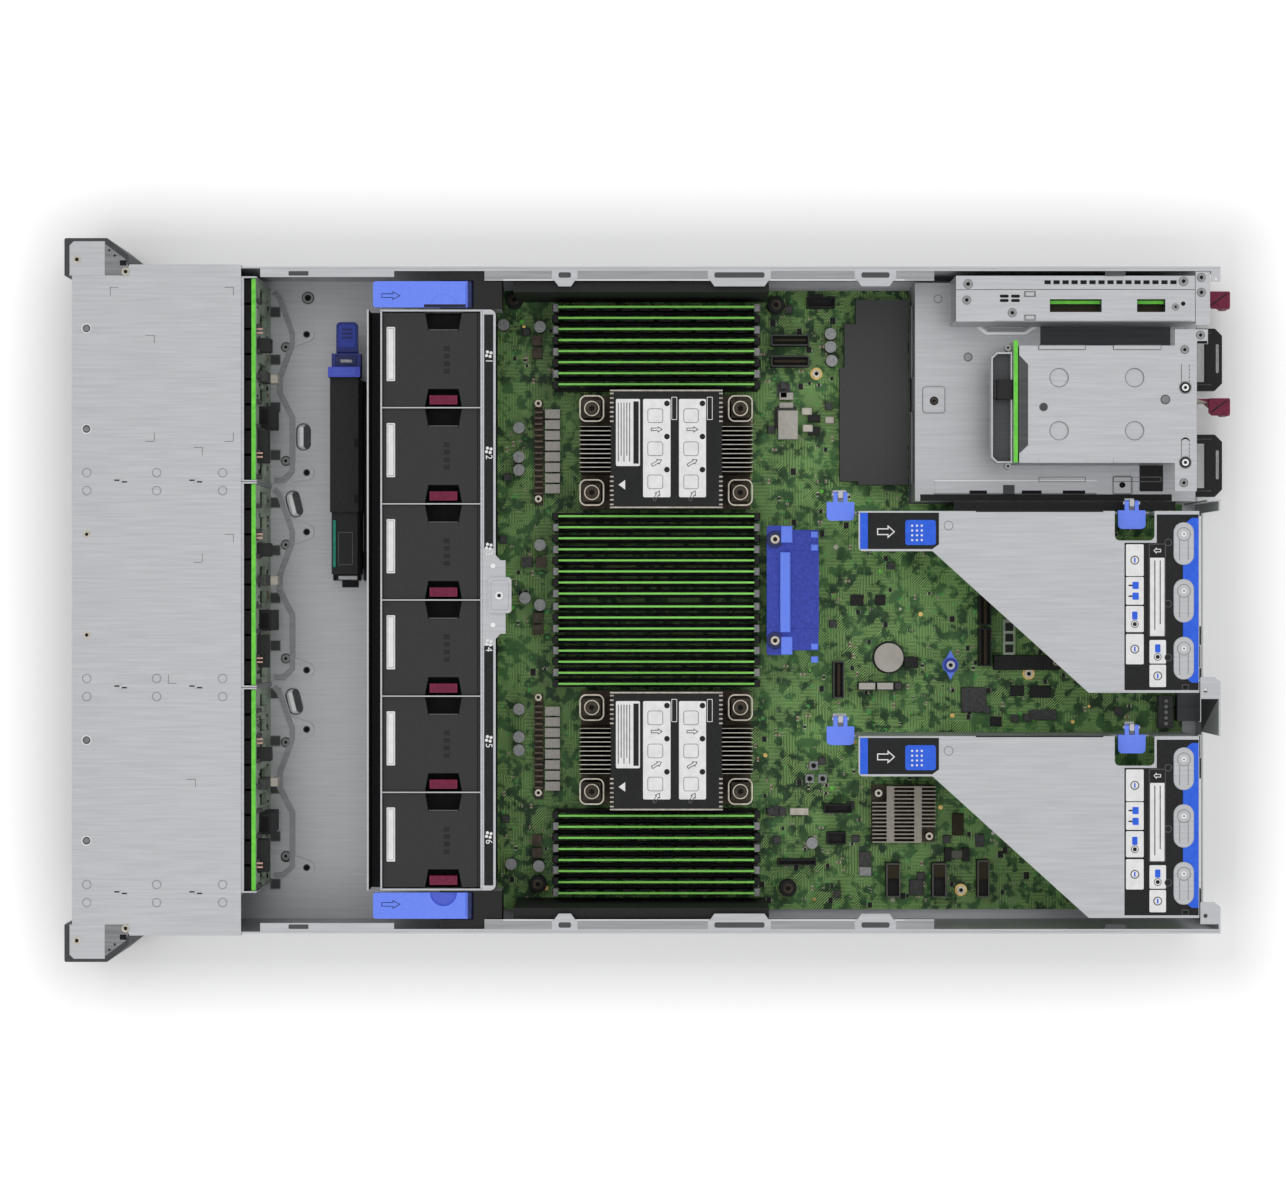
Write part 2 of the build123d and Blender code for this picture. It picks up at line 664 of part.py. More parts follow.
# Memory: sockets with a slot, end latches and the modules in them
memory_x = [side * (start + memory_pitch * n) for side in (-1, 1)
            for start in (memory_inner_x, memory_outer_x) for n in range(memory_per_group)]
slot_bottom = board_top + socket_height - slot_depth
socket_top = board_top + socket_height
latch_inner = memory_length / 2 + clear
memory_places = [(x, memory_middle_y) for x in memory_x]
with BuildPart() as memory_sockets:
    with BuildSketch(Plane.XY.offset(board_top)):
        with Locations(*memory_places):
            Rectangle(socket_width, socket_length)
    extrude(amount=slot_bottom - board_top)
    with BuildSketch(Plane.XY.offset(slot_bottom)):
        with Locations(*memory_places):
            Rectangle(socket_width, socket_length)
            Rectangle(memory_thickness + 0.2, memory_length + 0.8, mode=Mode.SUBTRACT)
    extrude(amount=slot_depth)
    with BuildSketch(*[Plane.YZ.offset(x - latch_width / 2) for x in memory_x]):
        for end in (-1, 1):
            with BuildLine():
                Polyline(
                    (memory_middle_y + end * latch_inner, socket_top + seam),
                    (memory_middle_y + end * (latch_inner + 2.6), socket_top + seam),
                    (memory_middle_y + end * (latch_inner + latch_length), latch_top - 4.0),
                    (memory_middle_y + end * (latch_inner + latch_length - 0.8), latch_top),
                    (memory_middle_y + end * latch_inner, latch_top),
                    close=True,
                )
            make_face()
    extrude(amount=latch_width)
save(memory_sockets.part, "memory_sockets")

with BuildPart() as memory_modules:
    with BuildSketch(Plane.XY.offset(slot_bottom)):
        with Locations(*memory_places):
            Rectangle(memory_thickness, memory_length)
    extrude(amount=memory_height)
save(memory_modules.part, "memory_modules")

# Small parts soldered to the board: power inductors, finned regulator strips, capacitors, chokes, chips
inductor_y = -70.7
strip_y = (-83.2, -77.2)
strip_top = 18.0
cap_places = ((-189.7, -104.4), (-188.3, -79.3), (-118.7, -93.8), (-98.6, -93.8), (-89.7, -93.8),
              (-37.9, -79.3), (-1.4, -89.6), (3.4, -79.3), (75.2, -93.8), (94.5, -93.8), (103.5, -93.8),
              (182.1, -99.3), (183.5, -80.0), (-183.5, 121.1), (-174.5, 121.1), (-164.9, 121.9),
              (167.6, 108.3))
choke_places = ((-179.2, -81.4), (-170.4, -81.4), (-26.2, -88.3), (-26.2, -78.6), (12.4, -80.7),
                (20.6, -80.7), (165.6, -81.4), (174.5, -81.4))
chip_places = ((69.0, 220.6, 17.3), (-126.2, 90.4, 15.0), (-145.2, 89.0, 9.0), (146.2, 84.0, 7.0))
with BuildPart() as board_components:
    for side in (-1, 1):
        with Locations(*[(side * 102.6 + (n - 3.5) * inductor_pitch, inductor_y, board_top) for n in range(8)]):
            Box(6.2, 10.3, 6.5, align=(Align.CENTER, Align.CENTER, Align.MIN))
        with BuildSketch(Plane.XZ.offset(-strip_y[0])):
            with Locations((side * 101.6, board_top + 1.2)):
                Rectangle(72.4, 2.4)
            with Locations((side * 101.6, (board_top + strip_top) / 2)):
                with GridLocations(4.0, 1, 17, 1):
                    Rectangle(1.2, strip_top - board_top)
        extrude(amount=-(strip_y[1] - strip_y[0]))
    with BuildSketch(Plane.XY.offset(board_top)):
        with Locations(*cap_places):
            Circle(cap_radius)
    extrude(amount=9.0)
    for place in choke_places:
        block(around(place[0], 7.0), around(place[1], 7.0), (board_top, board_top + 6.0))
    for place in chip_places:
        block(around(place[0], place[2]), around(place[1], place[2]), (board_top, board_top + 1.8))
save(board_components.part, "board_components")

# Connectors on the board, each a shell open at the top, and the jacks in the rear wall
cable_sockets = ((-178.9, 93.1, 7.6, 26.2), (-164.4, 93.1, 7.6, 26.2), (54.9, 126.5, 25.4, 7.5),
                 (7.2, 227.5, 20.0, 8.3), (32.4, 227.5, 26.2, 8.3), (193.0, 164.1, 23.4, 9.7),
                 (193.0, 195.8, 23.4, 9.7), (192.0, 226.2, 25.4, 8.3), (143.8, 126.2, 6.2, 19.4),
                 (164.1, 125.1, 8.2, 13.0), (59.3, 155.0, 5.6, 30.0), (180.6, 97.9, 4.1, 26.2),
                 (-205.1, 114.4, 7.6, 19.3))
cable_socket_top = 21.0
jack_rear = body_rear - sheet
with BuildPart() as board_connectors:
    for x, y, width, length in cable_sockets:
        block(around(x, width), around(y, length), (board_top, cable_socket_top))
        block(around(x, width - 2.0), around(y, length - 2.0), (cable_socket_top - 5.0, cable_socket_top + 1),
              Mode.SUBTRACT)
    for jack_x, wall in (((31.6, 46.4), 1.4), ((55.6, 83.4), 1.6), ((93.6, 108.4), 1.4)):
        block(jack_x, (jack_rear - 16.0, jack_rear - clear), (board_top, board_top + io_height - 0.5))
        block((jack_x[0] + wall, jack_x[1] - wall), (jack_rear - 12.0, jack_rear),
              (board_top + wall, board_top + io_height - 0.5 - wall), Mode.SUBTRACT)
save(board_connectors.part, "board_connectors")

# Heat sink on the chipset: base, fins along Y and two cross bars
chipset_x = (128.0, 167.0)
chipset_y = (149.4, 193.1)
chipset_top = 24.0
chipset_bars = ((159.3, 164.5), (178.3, 183.4))
with BuildPart() as chipset_heat_sink:
    chipset_middle = (chipset_x[0] + chipset_x[1]) / 2
    with BuildSketch(Plane.XZ.offset(-chipset_y[0])):
        with Locations((chipset_middle, board_top + 2.5)):
            Rectangle(chipset_x[1] - chipset_x[0], 5.0)
        with Locations((chipset_middle, (board_top + chipset_top) / 2)):
            with GridLocations(2.7, 1, 15, 1):
                Rectangle(0.9, chipset_top - board_top)
    extrude(amount=-(chipset_y[1] - chipset_y[0]))
    for bar_y in chipset_bars:
        block(chipset_x, bar_y, (board_top + 5.0, chipset_top))
    corners = (((chipset_x[0] - 1, 137.5), (chipset_y[0] - 1, chipset_bars[0][0]), (133.0, 154.0)),
               ((157.0, chipset_x[1] + 1), (chipset_bars[1][1], chipset_y[1] + 1), (162.7, 188.9)))
    for corner_x, corner_y, screw_place in corners:
        block(corner_x, corner_y, (board_top + 5.0, chipset_top + 1), Mode.SUBTRACT)
        with BuildSketch(Plane.XY.offset(board_top + 5.0)):
            with Locations(screw_place):
                Circle(2.7)
        extrude(amount=6.0)
save(chipset_heat_sink.part, "chipset_heat_sink")

# Coin cell in its holder
cell_x = 39.8
cell_y = 161.6
with BuildPart() as coin_cell:
    with BuildSketch(Plane.XY.offset(board_top)):
        with Locations((cell_x, cell_y)):
            Circle(11.2)
    extrude(amount=2.0)
    with BuildSketch(Plane.XY.offset(board_top + 2.0)):
        with Locations((cell_x, cell_y)):
            Circle(10.0)
    extrude(amount=3.2)
save(coin_cell.part, "coin_cell")

# Air baffles along both side walls, and the partition beside the power supply bay
partition_y = (202.0, 352.0)
partition_top = 58.0
with BuildPart() as air_baffles:
    block((206.0, 207.2), (-95.0, 76.0), (board_top, 80.0))
    block((206.0, 212.5), (-95.0, 76.0), (80.0, 81.2))
    mirror(about=Plane.YZ)
    block((board_step_x + 0.1, board_step_x + 1.3), partition_y, (board_top, partition_top))
    block((board_step_x + 1.3, riser_left - 4 * clear), partition_y, (partition_top - sheet, partition_top))
save(air_baffles.part, "air_baffles")

# Lift handle of the system board, a bar on two posts
board_handle_x = (-50.6, 37.4)
board_handle_y = (76.0, 111.5)
board_handle_top = 45.0
with BuildPart() as board_handle:
    with BuildSketch(Plane.XY.offset(board_handle_top - 4.0)):
        with Locations((sum(board_handle_x) / 2, 82.3)):
            RectangleRounded(board_handle_x[1] - board_handle_x[0], 12.6, 2.0)
        with Locations((sum(board_handle_x) / 2, 100.0)):
            RectangleRounded(60.0, 23.0, 3.0)
    extrude(amount=4.0)
    for post_x in (-40.9, 27.2):
        block(around(post_x, 9.0), around(82.3, 9.0), (board_top, board_handle_top - 4.0))
save(board_handle.part, "board_handle")

# Cover over the power distribution end of the board
with BuildPart() as power_board_cover:
    with BuildSketch(Plane.XY.offset(board_top)):
        with BuildLine():
            Polyline(
                (-206.8, 138.4), (-190.0, 138.4), (-190.0, 130.6), (-160.0, 130.6), (-160.0, 127.4),
                (-82.0, 127.4), (-82.0, 140.0), (-79.4, 140.0), (-79.4, 174.2), (-206.8, 174.2),
                close=True,
            )
        make_face()
    extrude(amount=10.8)
save(power_board_cover.part, "power_board_cover")

# Bay over the power supplies, a steel tunnel open to the rear, with pressed pads in its top
pressed = 0.7
with BuildPart() as psu_bay:
    block((psu_bay_left, psu_bay_right), (psu_bay_front, psu_bay_rear), (sheet, psu_bay_top))
    block((psu_bay_left + sheet, psu_bay_right - sheet), (psu_bay_front + sheet, psu_bay_rear + 1),
          (sheet - 1, psu_bay_top - sheet), Mode.SUBTRACT)
    for n in range(2):
        block(around(psu_left + psu_width / 2 + n * psu_pitch, 50.0), (psu_bay_front - 1, psu_bay_front + 2),
              (10.0, 34.0), Mode.SUBTRACT)
    block((-145.1, -127.6), (182.5, 197.1), (psu_bay_top, psu_bay_top + pressed))
    block((-81.1, -72.9), (190.7, 300.4), (psu_bay_top, psu_bay_top + pressed))
    block((-85.2, -71.5), (311.3, 325.6), (psu_bay_top - pressed, psu_bay_top + 1), Mode.SUBTRACT)
save(psu_bay.part, "psu_bay")

# Rear drive cage on the bay, with its bracket across the top at the rear
rear_cage_middle = (rear_cage_left + rear_cage_right) / 2
with BuildPart() as rear_drive_cage:
    block((rear_cage_left, rear_cage_right), (rear_cage_front, rear_cage_rear), (psu_bay_top, rear_cage_top))
    block((rear_cage_left + sheet, rear_cage_right - sheet), (rear_cage_front - 1, body_rear),
          (psu_bay_top + sheet, rear_cage_top - sheet), Mode.SUBTRACT)
    with BuildSketch(Plane.XY.offset(rear_cage_top)):
        with Locations((rear_cage_middle, 294.7)):
            with GridLocations(35.4, 50.4, 2, 2):
                Circle(6.3)
    extrude(amount=-pressed, mode=Mode.SUBTRACT)
    for lip_x in ((rear_cage_left, rear_cage_left + 2.9), (rear_cage_right - 2.9, rear_cage_right)):
        for lip_y in ((256.0, 286.8), (305.8, 337.3)):
            block(lip_x, lip_y, (rear_cage_top, rear_cage_top + pressed))
    block((-180.7, -72.7), (346.7, 361.4), (rear_cage_top - sheet, rear_cage_top))
    block((-180.7, -170.9), (361.4, 368.8), (rear_cage_top - sheet, rear_cage_top))
    with BuildSketch(Plane.XY.offset(rear_cage_top)):
        with Locations((rear_cage_middle + 1.9, 259.1), (rear_cage_middle - 3.1, 340.4)):
            Circle(1.9)
        with Locations((-148.8, 353.8), (-100.1, 353.8)):
            SlotOverall(17.0, 5.4)
    extrude(amount=-sheet, mode=Mode.SUBTRACT)
    block((rear_cage_left, rear_cage_right), (rear_cage_rear - 2, 347.7), (rear_cage_top - sheet, rear_cage_top))
save(rear_drive_cage.part, "rear_drive_cage")

# Two small drives that slide in from the rear, one above the other
rear_drive_x = (rear_cage_left + 4.0, rear_cage_right - 4.0)
rear_drive_heights = (psu_bay_top + sheet + clear, psu_bay_top + sheet + clear + 19.6)
rear_drive_height = 19.0
rear_bezel_y = (350.5, 360.5)
with BuildPart() as rear_drive_bank:
    for z0 in rear_drive_heights:
        block(rear_drive_x, rear_bezel_y, (z0, z0 + rear_drive_height))
        block((rear_drive_x[0] + 1.0, rear_drive_x[1] - 1.0), (247.0, rear_bezel_y[0]), (z0, z0 + 15.0))
save(rear_drive_bank.part, "rear_drive_bank")

# Narrow cage for the boot device
with BuildPart() as boot_device_cage:
    block((boot_cage_left, boot_cage_right), (boot_cage_front, boot_cage_rear), (psu_bay_top, rear_cage_top))
    block((boot_cage_left + sheet, boot_cage_right - sheet), (boot_cage_front - 1, boot_cage_rear + 1),
          (psu_bay_top + sheet, rear_cage_top - sheet), Mode.SUBTRACT)
    with BuildSketch(Plane.XY.offset(rear_cage_top)):
        with Locations((boot_cage_left + 4.3, 303.8)):
            with GridLocations(1, 6.0, 1, 15):
                Rectangle(2.4, 3.4)
        for window_y in ((263.3, 297.9), (321.5, 340.4)):
            with Locations((boot_cage_right - 10.6, sum(window_y) / 2)):
                Rectangle(8.6, window_y[1] - window_y[0])
    extrude(amount=-sheet, mode=Mode.SUBTRACT)
    block((-219.2, -183.5), (boot_cage_rear, 370.2), (rear_cage_top - sheet, rear_cage_top))
save(boot_device_cage.part, "boot_device_cage")

boot_bezel_y = (359.0, 369.0)
with BuildPart() as boot_device:
    block((boot_cage_left + 3.5, boot_cage_right - 3.5), boot_bezel_y, (psu_bay_top + 3.5, 80.0))
    block((boot_cage_left + 12.0, boot_cage_left + 13.6), (225.0, boot_bezel_y[0]),
          (psu_bay_top + sheet + clear, 78.0))
save(boot_device.part, "boot_device")

# Power supplies: body with inlet, fan grille recess and a U-shaped pull handle
psu_handle_x = (27.2, 70.1)
psu_handle_width = psu_handle_x[1] - psu_handle_x[0]
psu_handle_arm = 6.0
psu_handle_bar = 11.3
psu_latch_x = (3.3, 14.8)
psu_latch_z = (12.0, 30.0)
latch_arm = 2.6
latch_barrel_radius = 1.6
latch_pad_front = 379.0
latch_pivot_y = psu_rear + clear + latch_barrel_radius
inlet_x = 54.0
inlet_z = 28.5
inlet_width = 27.2
inlet_height = 19.8
inlet_depth = 16.0
grille_x = 21.0
grille_radius = 15.0
for n in range(2):
    x0 = psu_left + n * psu_pitch
    handle_x = x0 + sum(psu_handle_x) / 2
    with BuildPart() as psu:
        block((x0, x0 + psu_width), (psu_front, psu_rear), (psu_bottom, psu_top))
        with BuildSketch(Plane.XY.offset(psu_bottom + 9.0)) as loop:
            with Locations((handle_x, (psu_rear + seam + psu_handle_reach) / 2)):
                Rectangle(psu_handle_width, psu_handle_reach - psu_rear - seam)
            chamfer(loop.vertices().group_by(Axis.Y)[-1], 5.0)
            with Locations((handle_x, psu_rear)):
                Rectangle(psu_handle_width - 2 * psu_handle_arm,
                          2 * (psu_handle_reach - psu_rear - psu_handle_bar), mode=Mode.SUBTRACT)
        extrude(amount=6.0)
        block(around(x0 + inlet_x, inlet_width), (psu_rear - inlet_depth, psu_rear + 1),
              around(inlet_z, inlet_height), Mode.SUBTRACT)
        with BuildSketch(Plane.XZ.offset(-psu_rear)):
            with Locations((x0 + grille_x, (psu_bottom + psu_top) / 2)):
                Circle(grille_radius)
        extrude(amount=3.0, mode=Mode.SUBTRACT)
    save(psu.part, f"psu_{n + 1}")
    with BuildPart() as psu_latch:
        with BuildSketch(Plane.XY.offset(psu_latch_z[0])):
            with Locations((x0 + psu_latch_x[0] + latch_arm / 2, latch_pivot_y)):
                Circle(latch_barrel_radius)
        extrude(amount=psu_latch_z[1] - psu_latch_z[0])
        with BuildSketch(Plane.XY.offset(psu_latch_z[0])):
            with BuildLine():
                Polyline(
                    (x0 + psu_latch_x[0], latch_pivot_y),
                    (x0 + psu_latch_x[0] + latch_arm, latch_pivot_y),
                    (x0 + psu_latch_x[0] + latch_arm, latch_pad_front),
                    (x0 + psu_latch_x[1], rear_reach - 4.0),
                    (x0 + psu_latch_x[1], rear_reach),
                    (x0 + psu_latch_x[0], rear_reach),
                    close=True,
                )
            make_face()
        extrude(amount=psu_latch_z[1] - psu_latch_z[0])
    save(psu_latch.part, f"psu_latch_{n + 1}")

# Riser cages: top plate with a neck and a notch, side and rear walls, and the riser card with three slots
card_x = 3.0
for n in range(2):
    shift = n * riser_pitch
    with BuildPart() as riser_cage:
        with BuildSketch(Plane.XY.offset(riser_top - sheet)) as plate:
            with BuildLine():
                Polyline(
                    (riser_left + shift, riser_front),
                    (riser_neck_x + shift, riser_front),
                    (riser_neck_x + shift, riser_neck_y),
                    (riser_right + shift, riser_slope_end_y),
                    (riser_right + shift, riser_rear),
                    (riser_left + shift, riser_rear),
                    (riser_left + shift, riser_notch_rear),
                    (riser_notch_x + shift, riser_notch_rear),
                    (riser_notch_x + shift, riser_notch_front),
                    (riser_left + shift, riser_notch_front),
                    close=True,
                )
            make_face()
            fillet(plate.vertices().sort_by(Axis.Y)[:2], 3.0)
            notch_corners = plate.vertices().filter_by(
                lambda corner: abs(corner.X - riser_notch_x - shift) < clear)
            fillet(notch_corners, 3.5)
        extrude(amount=sheet)
        side_x = (riser_left + shift, riser_left + shift + sheet)
        wall_z = (riser_bottom, riser_top - sheet - seam)
        block(side_x, (riser_front, riser_notch_front), wall_z)
        block(side_x, (riser_notch_rear, riser_rear - sheet - seam), wall_z)
        block(side_x, (riser_notch_front, riser_notch_rear), (riser_bottom, riser_notch_floor))
        block((riser_left + shift, riser_right + shift), (riser_rear - sheet, riser_rear), wall_z)
        for slot in range(3):
            slot_z = riser_bottom + 10.0 + slot * slot_pitch
            block((riser_left + shift + 8.0, riser_right + shift - 8.0), (riser_rear - 3, riser_rear + 1),
                  around(slot_z, slot_window), Mode.SUBTRACT)
            block((riser_left + shift + card_x + 1.6, riser_left + shift + card_x + 12.6), (200.0, 289.0),
                  around(slot_z, 7.4))
        card = (riser_left + shift + card_x, riser_left + shift + card_x + 1.6)
        block(card, (192.0, 300.0), (board_top + clear, wall_z[1]))
        block((side_x[1], card[0] - seam), (200.0, 210.0), (60.0, 70.0))
        lug_z = (66.0, 67.2)
        block((side_x[0] - 14.5, side_x[1]), around(riser_front - 11.6, 9.0), lug_z)
        block(side_x, (riser_front - 8.0, riser_front - seam), lug_z)
        block((side_x[0] - 9.0, side_x[0] - seam), (316.0, 322.2), lug_z)
        block(side_x, (316.0, 322.2), (riser_notch_floor, lug_z[1]))
        for stud_x, stud_y in ((riser_left - 11.2, riser_front - 11.6), (riser_left - 5.6, 319.1)):
            block(around(stud_x + shift, 4.4), around(stud_y, 3.0), (lug_z[1], 79.0))
            with BuildSketch(Plane.XZ.offset(-(stud_y - 5.6))):
                with Locations((stud_x + shift, 76.6)):
                    Circle(1.2)
            extrude(amount=-11.2)
    save(riser_cage.part, f"riser_cage_{n + 1}")

# Flip tabs on the riser cages: a fork on the stud's pin and a flat thumb pad
tab_number = 0
for shift in (0, riser_pitch):
    for stud_x, stud_y in ((riser_left - 11.2, riser_front - 11.6), (riser_left - 5.6, 319.1)):
        tab_number = tab_number + 1
        with BuildPart() as riser_tab:
            block((stud_x + shift + 5.0, stud_x + shift + 17.4), around(stud_y, 18.4), (74.8, 78.4))
            fillet(riser_tab.edges().filter_by(Axis.Z).group_by(Axis.X)[-1], 3.0)
            for fork in (-1, 1):
                block((stud_x + shift, stud_x + shift + 5.0), around(stud_y + fork * 3.3, 2.6), (74.8, 78.4))
                with BuildSketch(Plane.XZ.offset(-(stud_y + fork * 3.3 - 1.3))):
                    with Locations((stud_x + shift, 76.6)):
                        Circle(1.8)
                extrude(amount=-2.6)
                with BuildSketch(Plane.XZ.offset(-(stud_y + fork * 3.3 - 1.3))):
                    with Locations((stud_x + shift, 76.6)):
                        Circle(1.2 + pin_clear)
                extrude(amount=-2.6, mode=Mode.SUBTRACT)
        save(riser_tab.part, f"riser_tab_{tab_number}")

# Backup energy pack in its holder in front of the fans, with a sprung latch at one end
pack_x = (-151.4, -17.7)
pack_y = (-221.2, -201.9)
pack_split_x = -59.9
pack_bar_x = -158.3
pack_hinge_x = -167.7
pack_foot = 4.2
holder_height = 9.0
with BuildPart() as energy_pack_holder:
    for side_y in ((pack_y[0] - clear - sheet, pack_y[0] - clear), (pack_y[1] + clear, pack_y[1] + clear + sheet)):
        block((pack_x[0], pack_x[1] + pack_foot), side_y, (sheet, sheet + holder_height))
        for foot_x in (pack_x[0] + 10.0, pack_x[1] - 10.0):
            block(around(foot_x, 12.0), around(sum(side_y) / 2, 5.0), (sheet, sheet + 1.0))
    block((pack_x[0] - 9.0, pack_x[1] + 9.0), (pack_y[0] + 4.0, pack_y[1] - 4.0), (sheet, sheet + 1.0))
save(energy_pack_holder.part, "energy_pack_holder")

pack_bottom = sheet + 1.0 + clear
with BuildPart() as energy_pack:
    block((pack_x[0], pack_split_x), pack_y, (pack_bottom, 46.0))
    block((pack_split_x, pack_x[1]), (pack_y[0] + 0.8, pack_y[1] - 0.8), (pack_bottom, 43.0))
    block((pack_bar_x, pack_x[0]), (pack_y[0] - 1.0, pack_y[1] + 1.5), (34.0, 50.0))
    block((pack_hinge_x, pack_bar_x), (pack_y[0] + 1.1, pack_y[1] + 1.5), (34.0, 46.0))
    block((pack_x[1], pack_x[1] + pack_foot), (pack_y[0] + 2.0, pack_y[1] - 2.0), (pack_bottom, 24.0))
save(energy_pack.part, "energy_pack")

tongue_pivot_x = pack_hinge_x - clear - 1.5
tongue_pivot_z = 40.0
tongue_y = (-217.4, -202.6)
with BuildPart() as energy_pack_latch:
    block((pack_hinge_x - 21.8, tongue_pivot_x), tongue_y, around(tongue_pivot_z, 3.0))
    fillet(energy_pack_latch.edges().filter_by(Axis.Z).group_by(Axis.X)[0], 3.0)
    with BuildSketch(Plane.XZ.offset(-tongue_y[0])):
        with Locations((tongue_pivot_x, tongue_pivot_z)):
            Circle(1.5)
    extrude(amount=-(tongue_y[1] - tongue_y[0]))
save(energy_pack_latch.part, "energy_pack_latch")

# Sprung knob that pins the board in place
knob_x = 44.8
knob_y = 203.3
with BuildPart() as board_plunger:
    with BuildSketch(Plane.XY.offset(board_top + clear)):
        with Locations((knob_x, knob_y)):
            Circle(3.0)
    extrude(amount=8.0)
    with BuildSketch(Plane.XY.offset(board_top + clear + 8.0)):
        with Locations((knob_x, knob_y)):
            Circle(5.4)
        with BuildLine():
            Polyline((knob_x - 10.0, knob_y), (knob_x, knob_y - 5.2), (knob_x + 10.0, knob_y),
                     (knob_x, knob_y + 5.2), close=True)
        make_face()
    extrude(amount=6.0)
save(board_plunger.part, "board_plunger")
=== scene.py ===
# The looks of a two-unit rack server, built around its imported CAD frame.
# Shapes are written in millimetres in the row frame: front -Y, rear +Y, +X right seen from the front, +Z up.
from math import cos, pi, radians, sin
from random import Random

import bpy
from mathutils import Matrix, Vector


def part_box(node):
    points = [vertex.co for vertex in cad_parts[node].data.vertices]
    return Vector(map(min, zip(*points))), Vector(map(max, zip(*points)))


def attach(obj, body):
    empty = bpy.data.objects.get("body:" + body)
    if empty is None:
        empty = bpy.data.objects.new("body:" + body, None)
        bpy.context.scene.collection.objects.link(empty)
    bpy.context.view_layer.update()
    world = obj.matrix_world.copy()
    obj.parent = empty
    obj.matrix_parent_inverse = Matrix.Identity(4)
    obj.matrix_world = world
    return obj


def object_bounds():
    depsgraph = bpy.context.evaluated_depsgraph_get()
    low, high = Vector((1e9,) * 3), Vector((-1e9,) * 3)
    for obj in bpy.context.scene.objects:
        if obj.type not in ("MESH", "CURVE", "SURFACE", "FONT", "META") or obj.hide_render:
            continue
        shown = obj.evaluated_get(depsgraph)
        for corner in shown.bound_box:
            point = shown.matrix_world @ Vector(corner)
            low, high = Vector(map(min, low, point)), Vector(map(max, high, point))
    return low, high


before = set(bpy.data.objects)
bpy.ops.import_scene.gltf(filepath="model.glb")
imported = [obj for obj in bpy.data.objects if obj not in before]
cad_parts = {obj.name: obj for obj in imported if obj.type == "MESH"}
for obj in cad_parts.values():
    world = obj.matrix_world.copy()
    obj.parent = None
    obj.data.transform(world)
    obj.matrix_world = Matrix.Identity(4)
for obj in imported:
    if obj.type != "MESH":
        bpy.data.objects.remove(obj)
cad_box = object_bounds()

MM = 0.001
SHEET = "galvanised_sheet"


def top_of(node):
    """Height of a CAD node's top."""
    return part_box(node)[1].z / MM


# Places that several pieces share, read from the frame where it has them
COVER_TOP = top_of("drive_bay_cover")
CAGE_TOP = 84.5
FAN_PITCH = 64.2
FAN_X = [(n - 2.5) * FAN_PITCH for n in range(6)]
FAN_TOP = top_of("fan_housing_1")
RISER_PITCH = 150.3
RISER_TOP = top_of("riser_cage_1")
BOARD_TOP = top_of("system_board")
HANDLE_TOP = top_of("fan_cage_handle_right")
SINK_TOP = top_of("heat_sinks")
RAIL_TOP = top_of("chassis_tray")
BAY_TOP = 43.0
REAR_TOP = 85.0
SOCKET_TOP = 21.0
PSU_LEFT = -214.5
PSU_PITCH = 73.2
SINK_X = 101.3
SINK_Y = 7.4
SINK_SCREW = (28.45, 50.35)
DRIVE_PITCH = 16.8
CHIP_PITCH = 12.7


def colour(red, green, blue):
    """A colour of 0 to 255 a channel, as it should look, in Blender's linear values."""
    return tuple(((c / 255 + 0.055) / 1.055) ** 2.4 for c in (red, green, blue)) + (1.0,)


def add(tree, kind, inputs):
    """New node of a node tree, with inputs that are each a value or another node's output."""
    made = tree.nodes.new("ShaderNode" + kind)
    feed(tree, made, inputs)
    return made


def feed(tree, node, inputs):
    """Sets or links inputs of a node."""
    for socket, value in inputs.items():
        if isinstance(value, bpy.types.NodeSocket):
            tree.links.new(value, node.inputs[socket])
        else:
            node.inputs[socket].default_value = value


def new_material(name):
    """Empty material and its node tree."""
    material = bpy.data.materials.new(name)
    material.use_nodes = True
    return material, material.node_tree


SHINE = 0.25
RELIEF_DEPTH = 0.0004
TRACK_DEPTH = 0.0003


def look(name, dark, light, rough=(0.5, 0.6), metallic=0.0, scale=500.0, bump=0.0, stretch=(1, 1, 1),
         spread=0.2):
    """Material whose colour and roughness wander between two values with noise, which can also be a bump."""
    material, tree = new_material(name)
    place = add(tree, "TexCoord", {}).outputs["Object"]
    grain = add(tree, "Mapping", {"Scale": stretch, "Vector": place}).outputs["Vector"]
    noise = add(tree, "TexNoise", {"Scale": scale, "Detail": 4.0, "Vector": grain}).outputs["Fac"]
    ramp = add(tree, "ValToRGB", {"Fac": noise})
    for stop, side, tone in zip(ramp.color_ramp.elements, (-1, 1), (dark, light)):
        stop.position = 0.5 + side * spread
        stop.color = colour(*tone)
    roughness = add(tree, "MapRange", {"To Min": rough[0], "To Max": rough[1], "Value": noise})
    shader = tree.nodes["Principled BSDF"]
    feed(tree, shader, {"Metallic": metallic, "Specular IOR Level": SHINE,
                        "Base Color": ramp.outputs["Color"], "Roughness": roughness.outputs["Result"]})
    if bump:
        relief = add(tree, "Bump", {"Strength": bump, "Distance": RELIEF_DEPTH, "Height": noise})
        feed(tree, shader, {"Normal": relief.outputs["Normal"]})
    return material


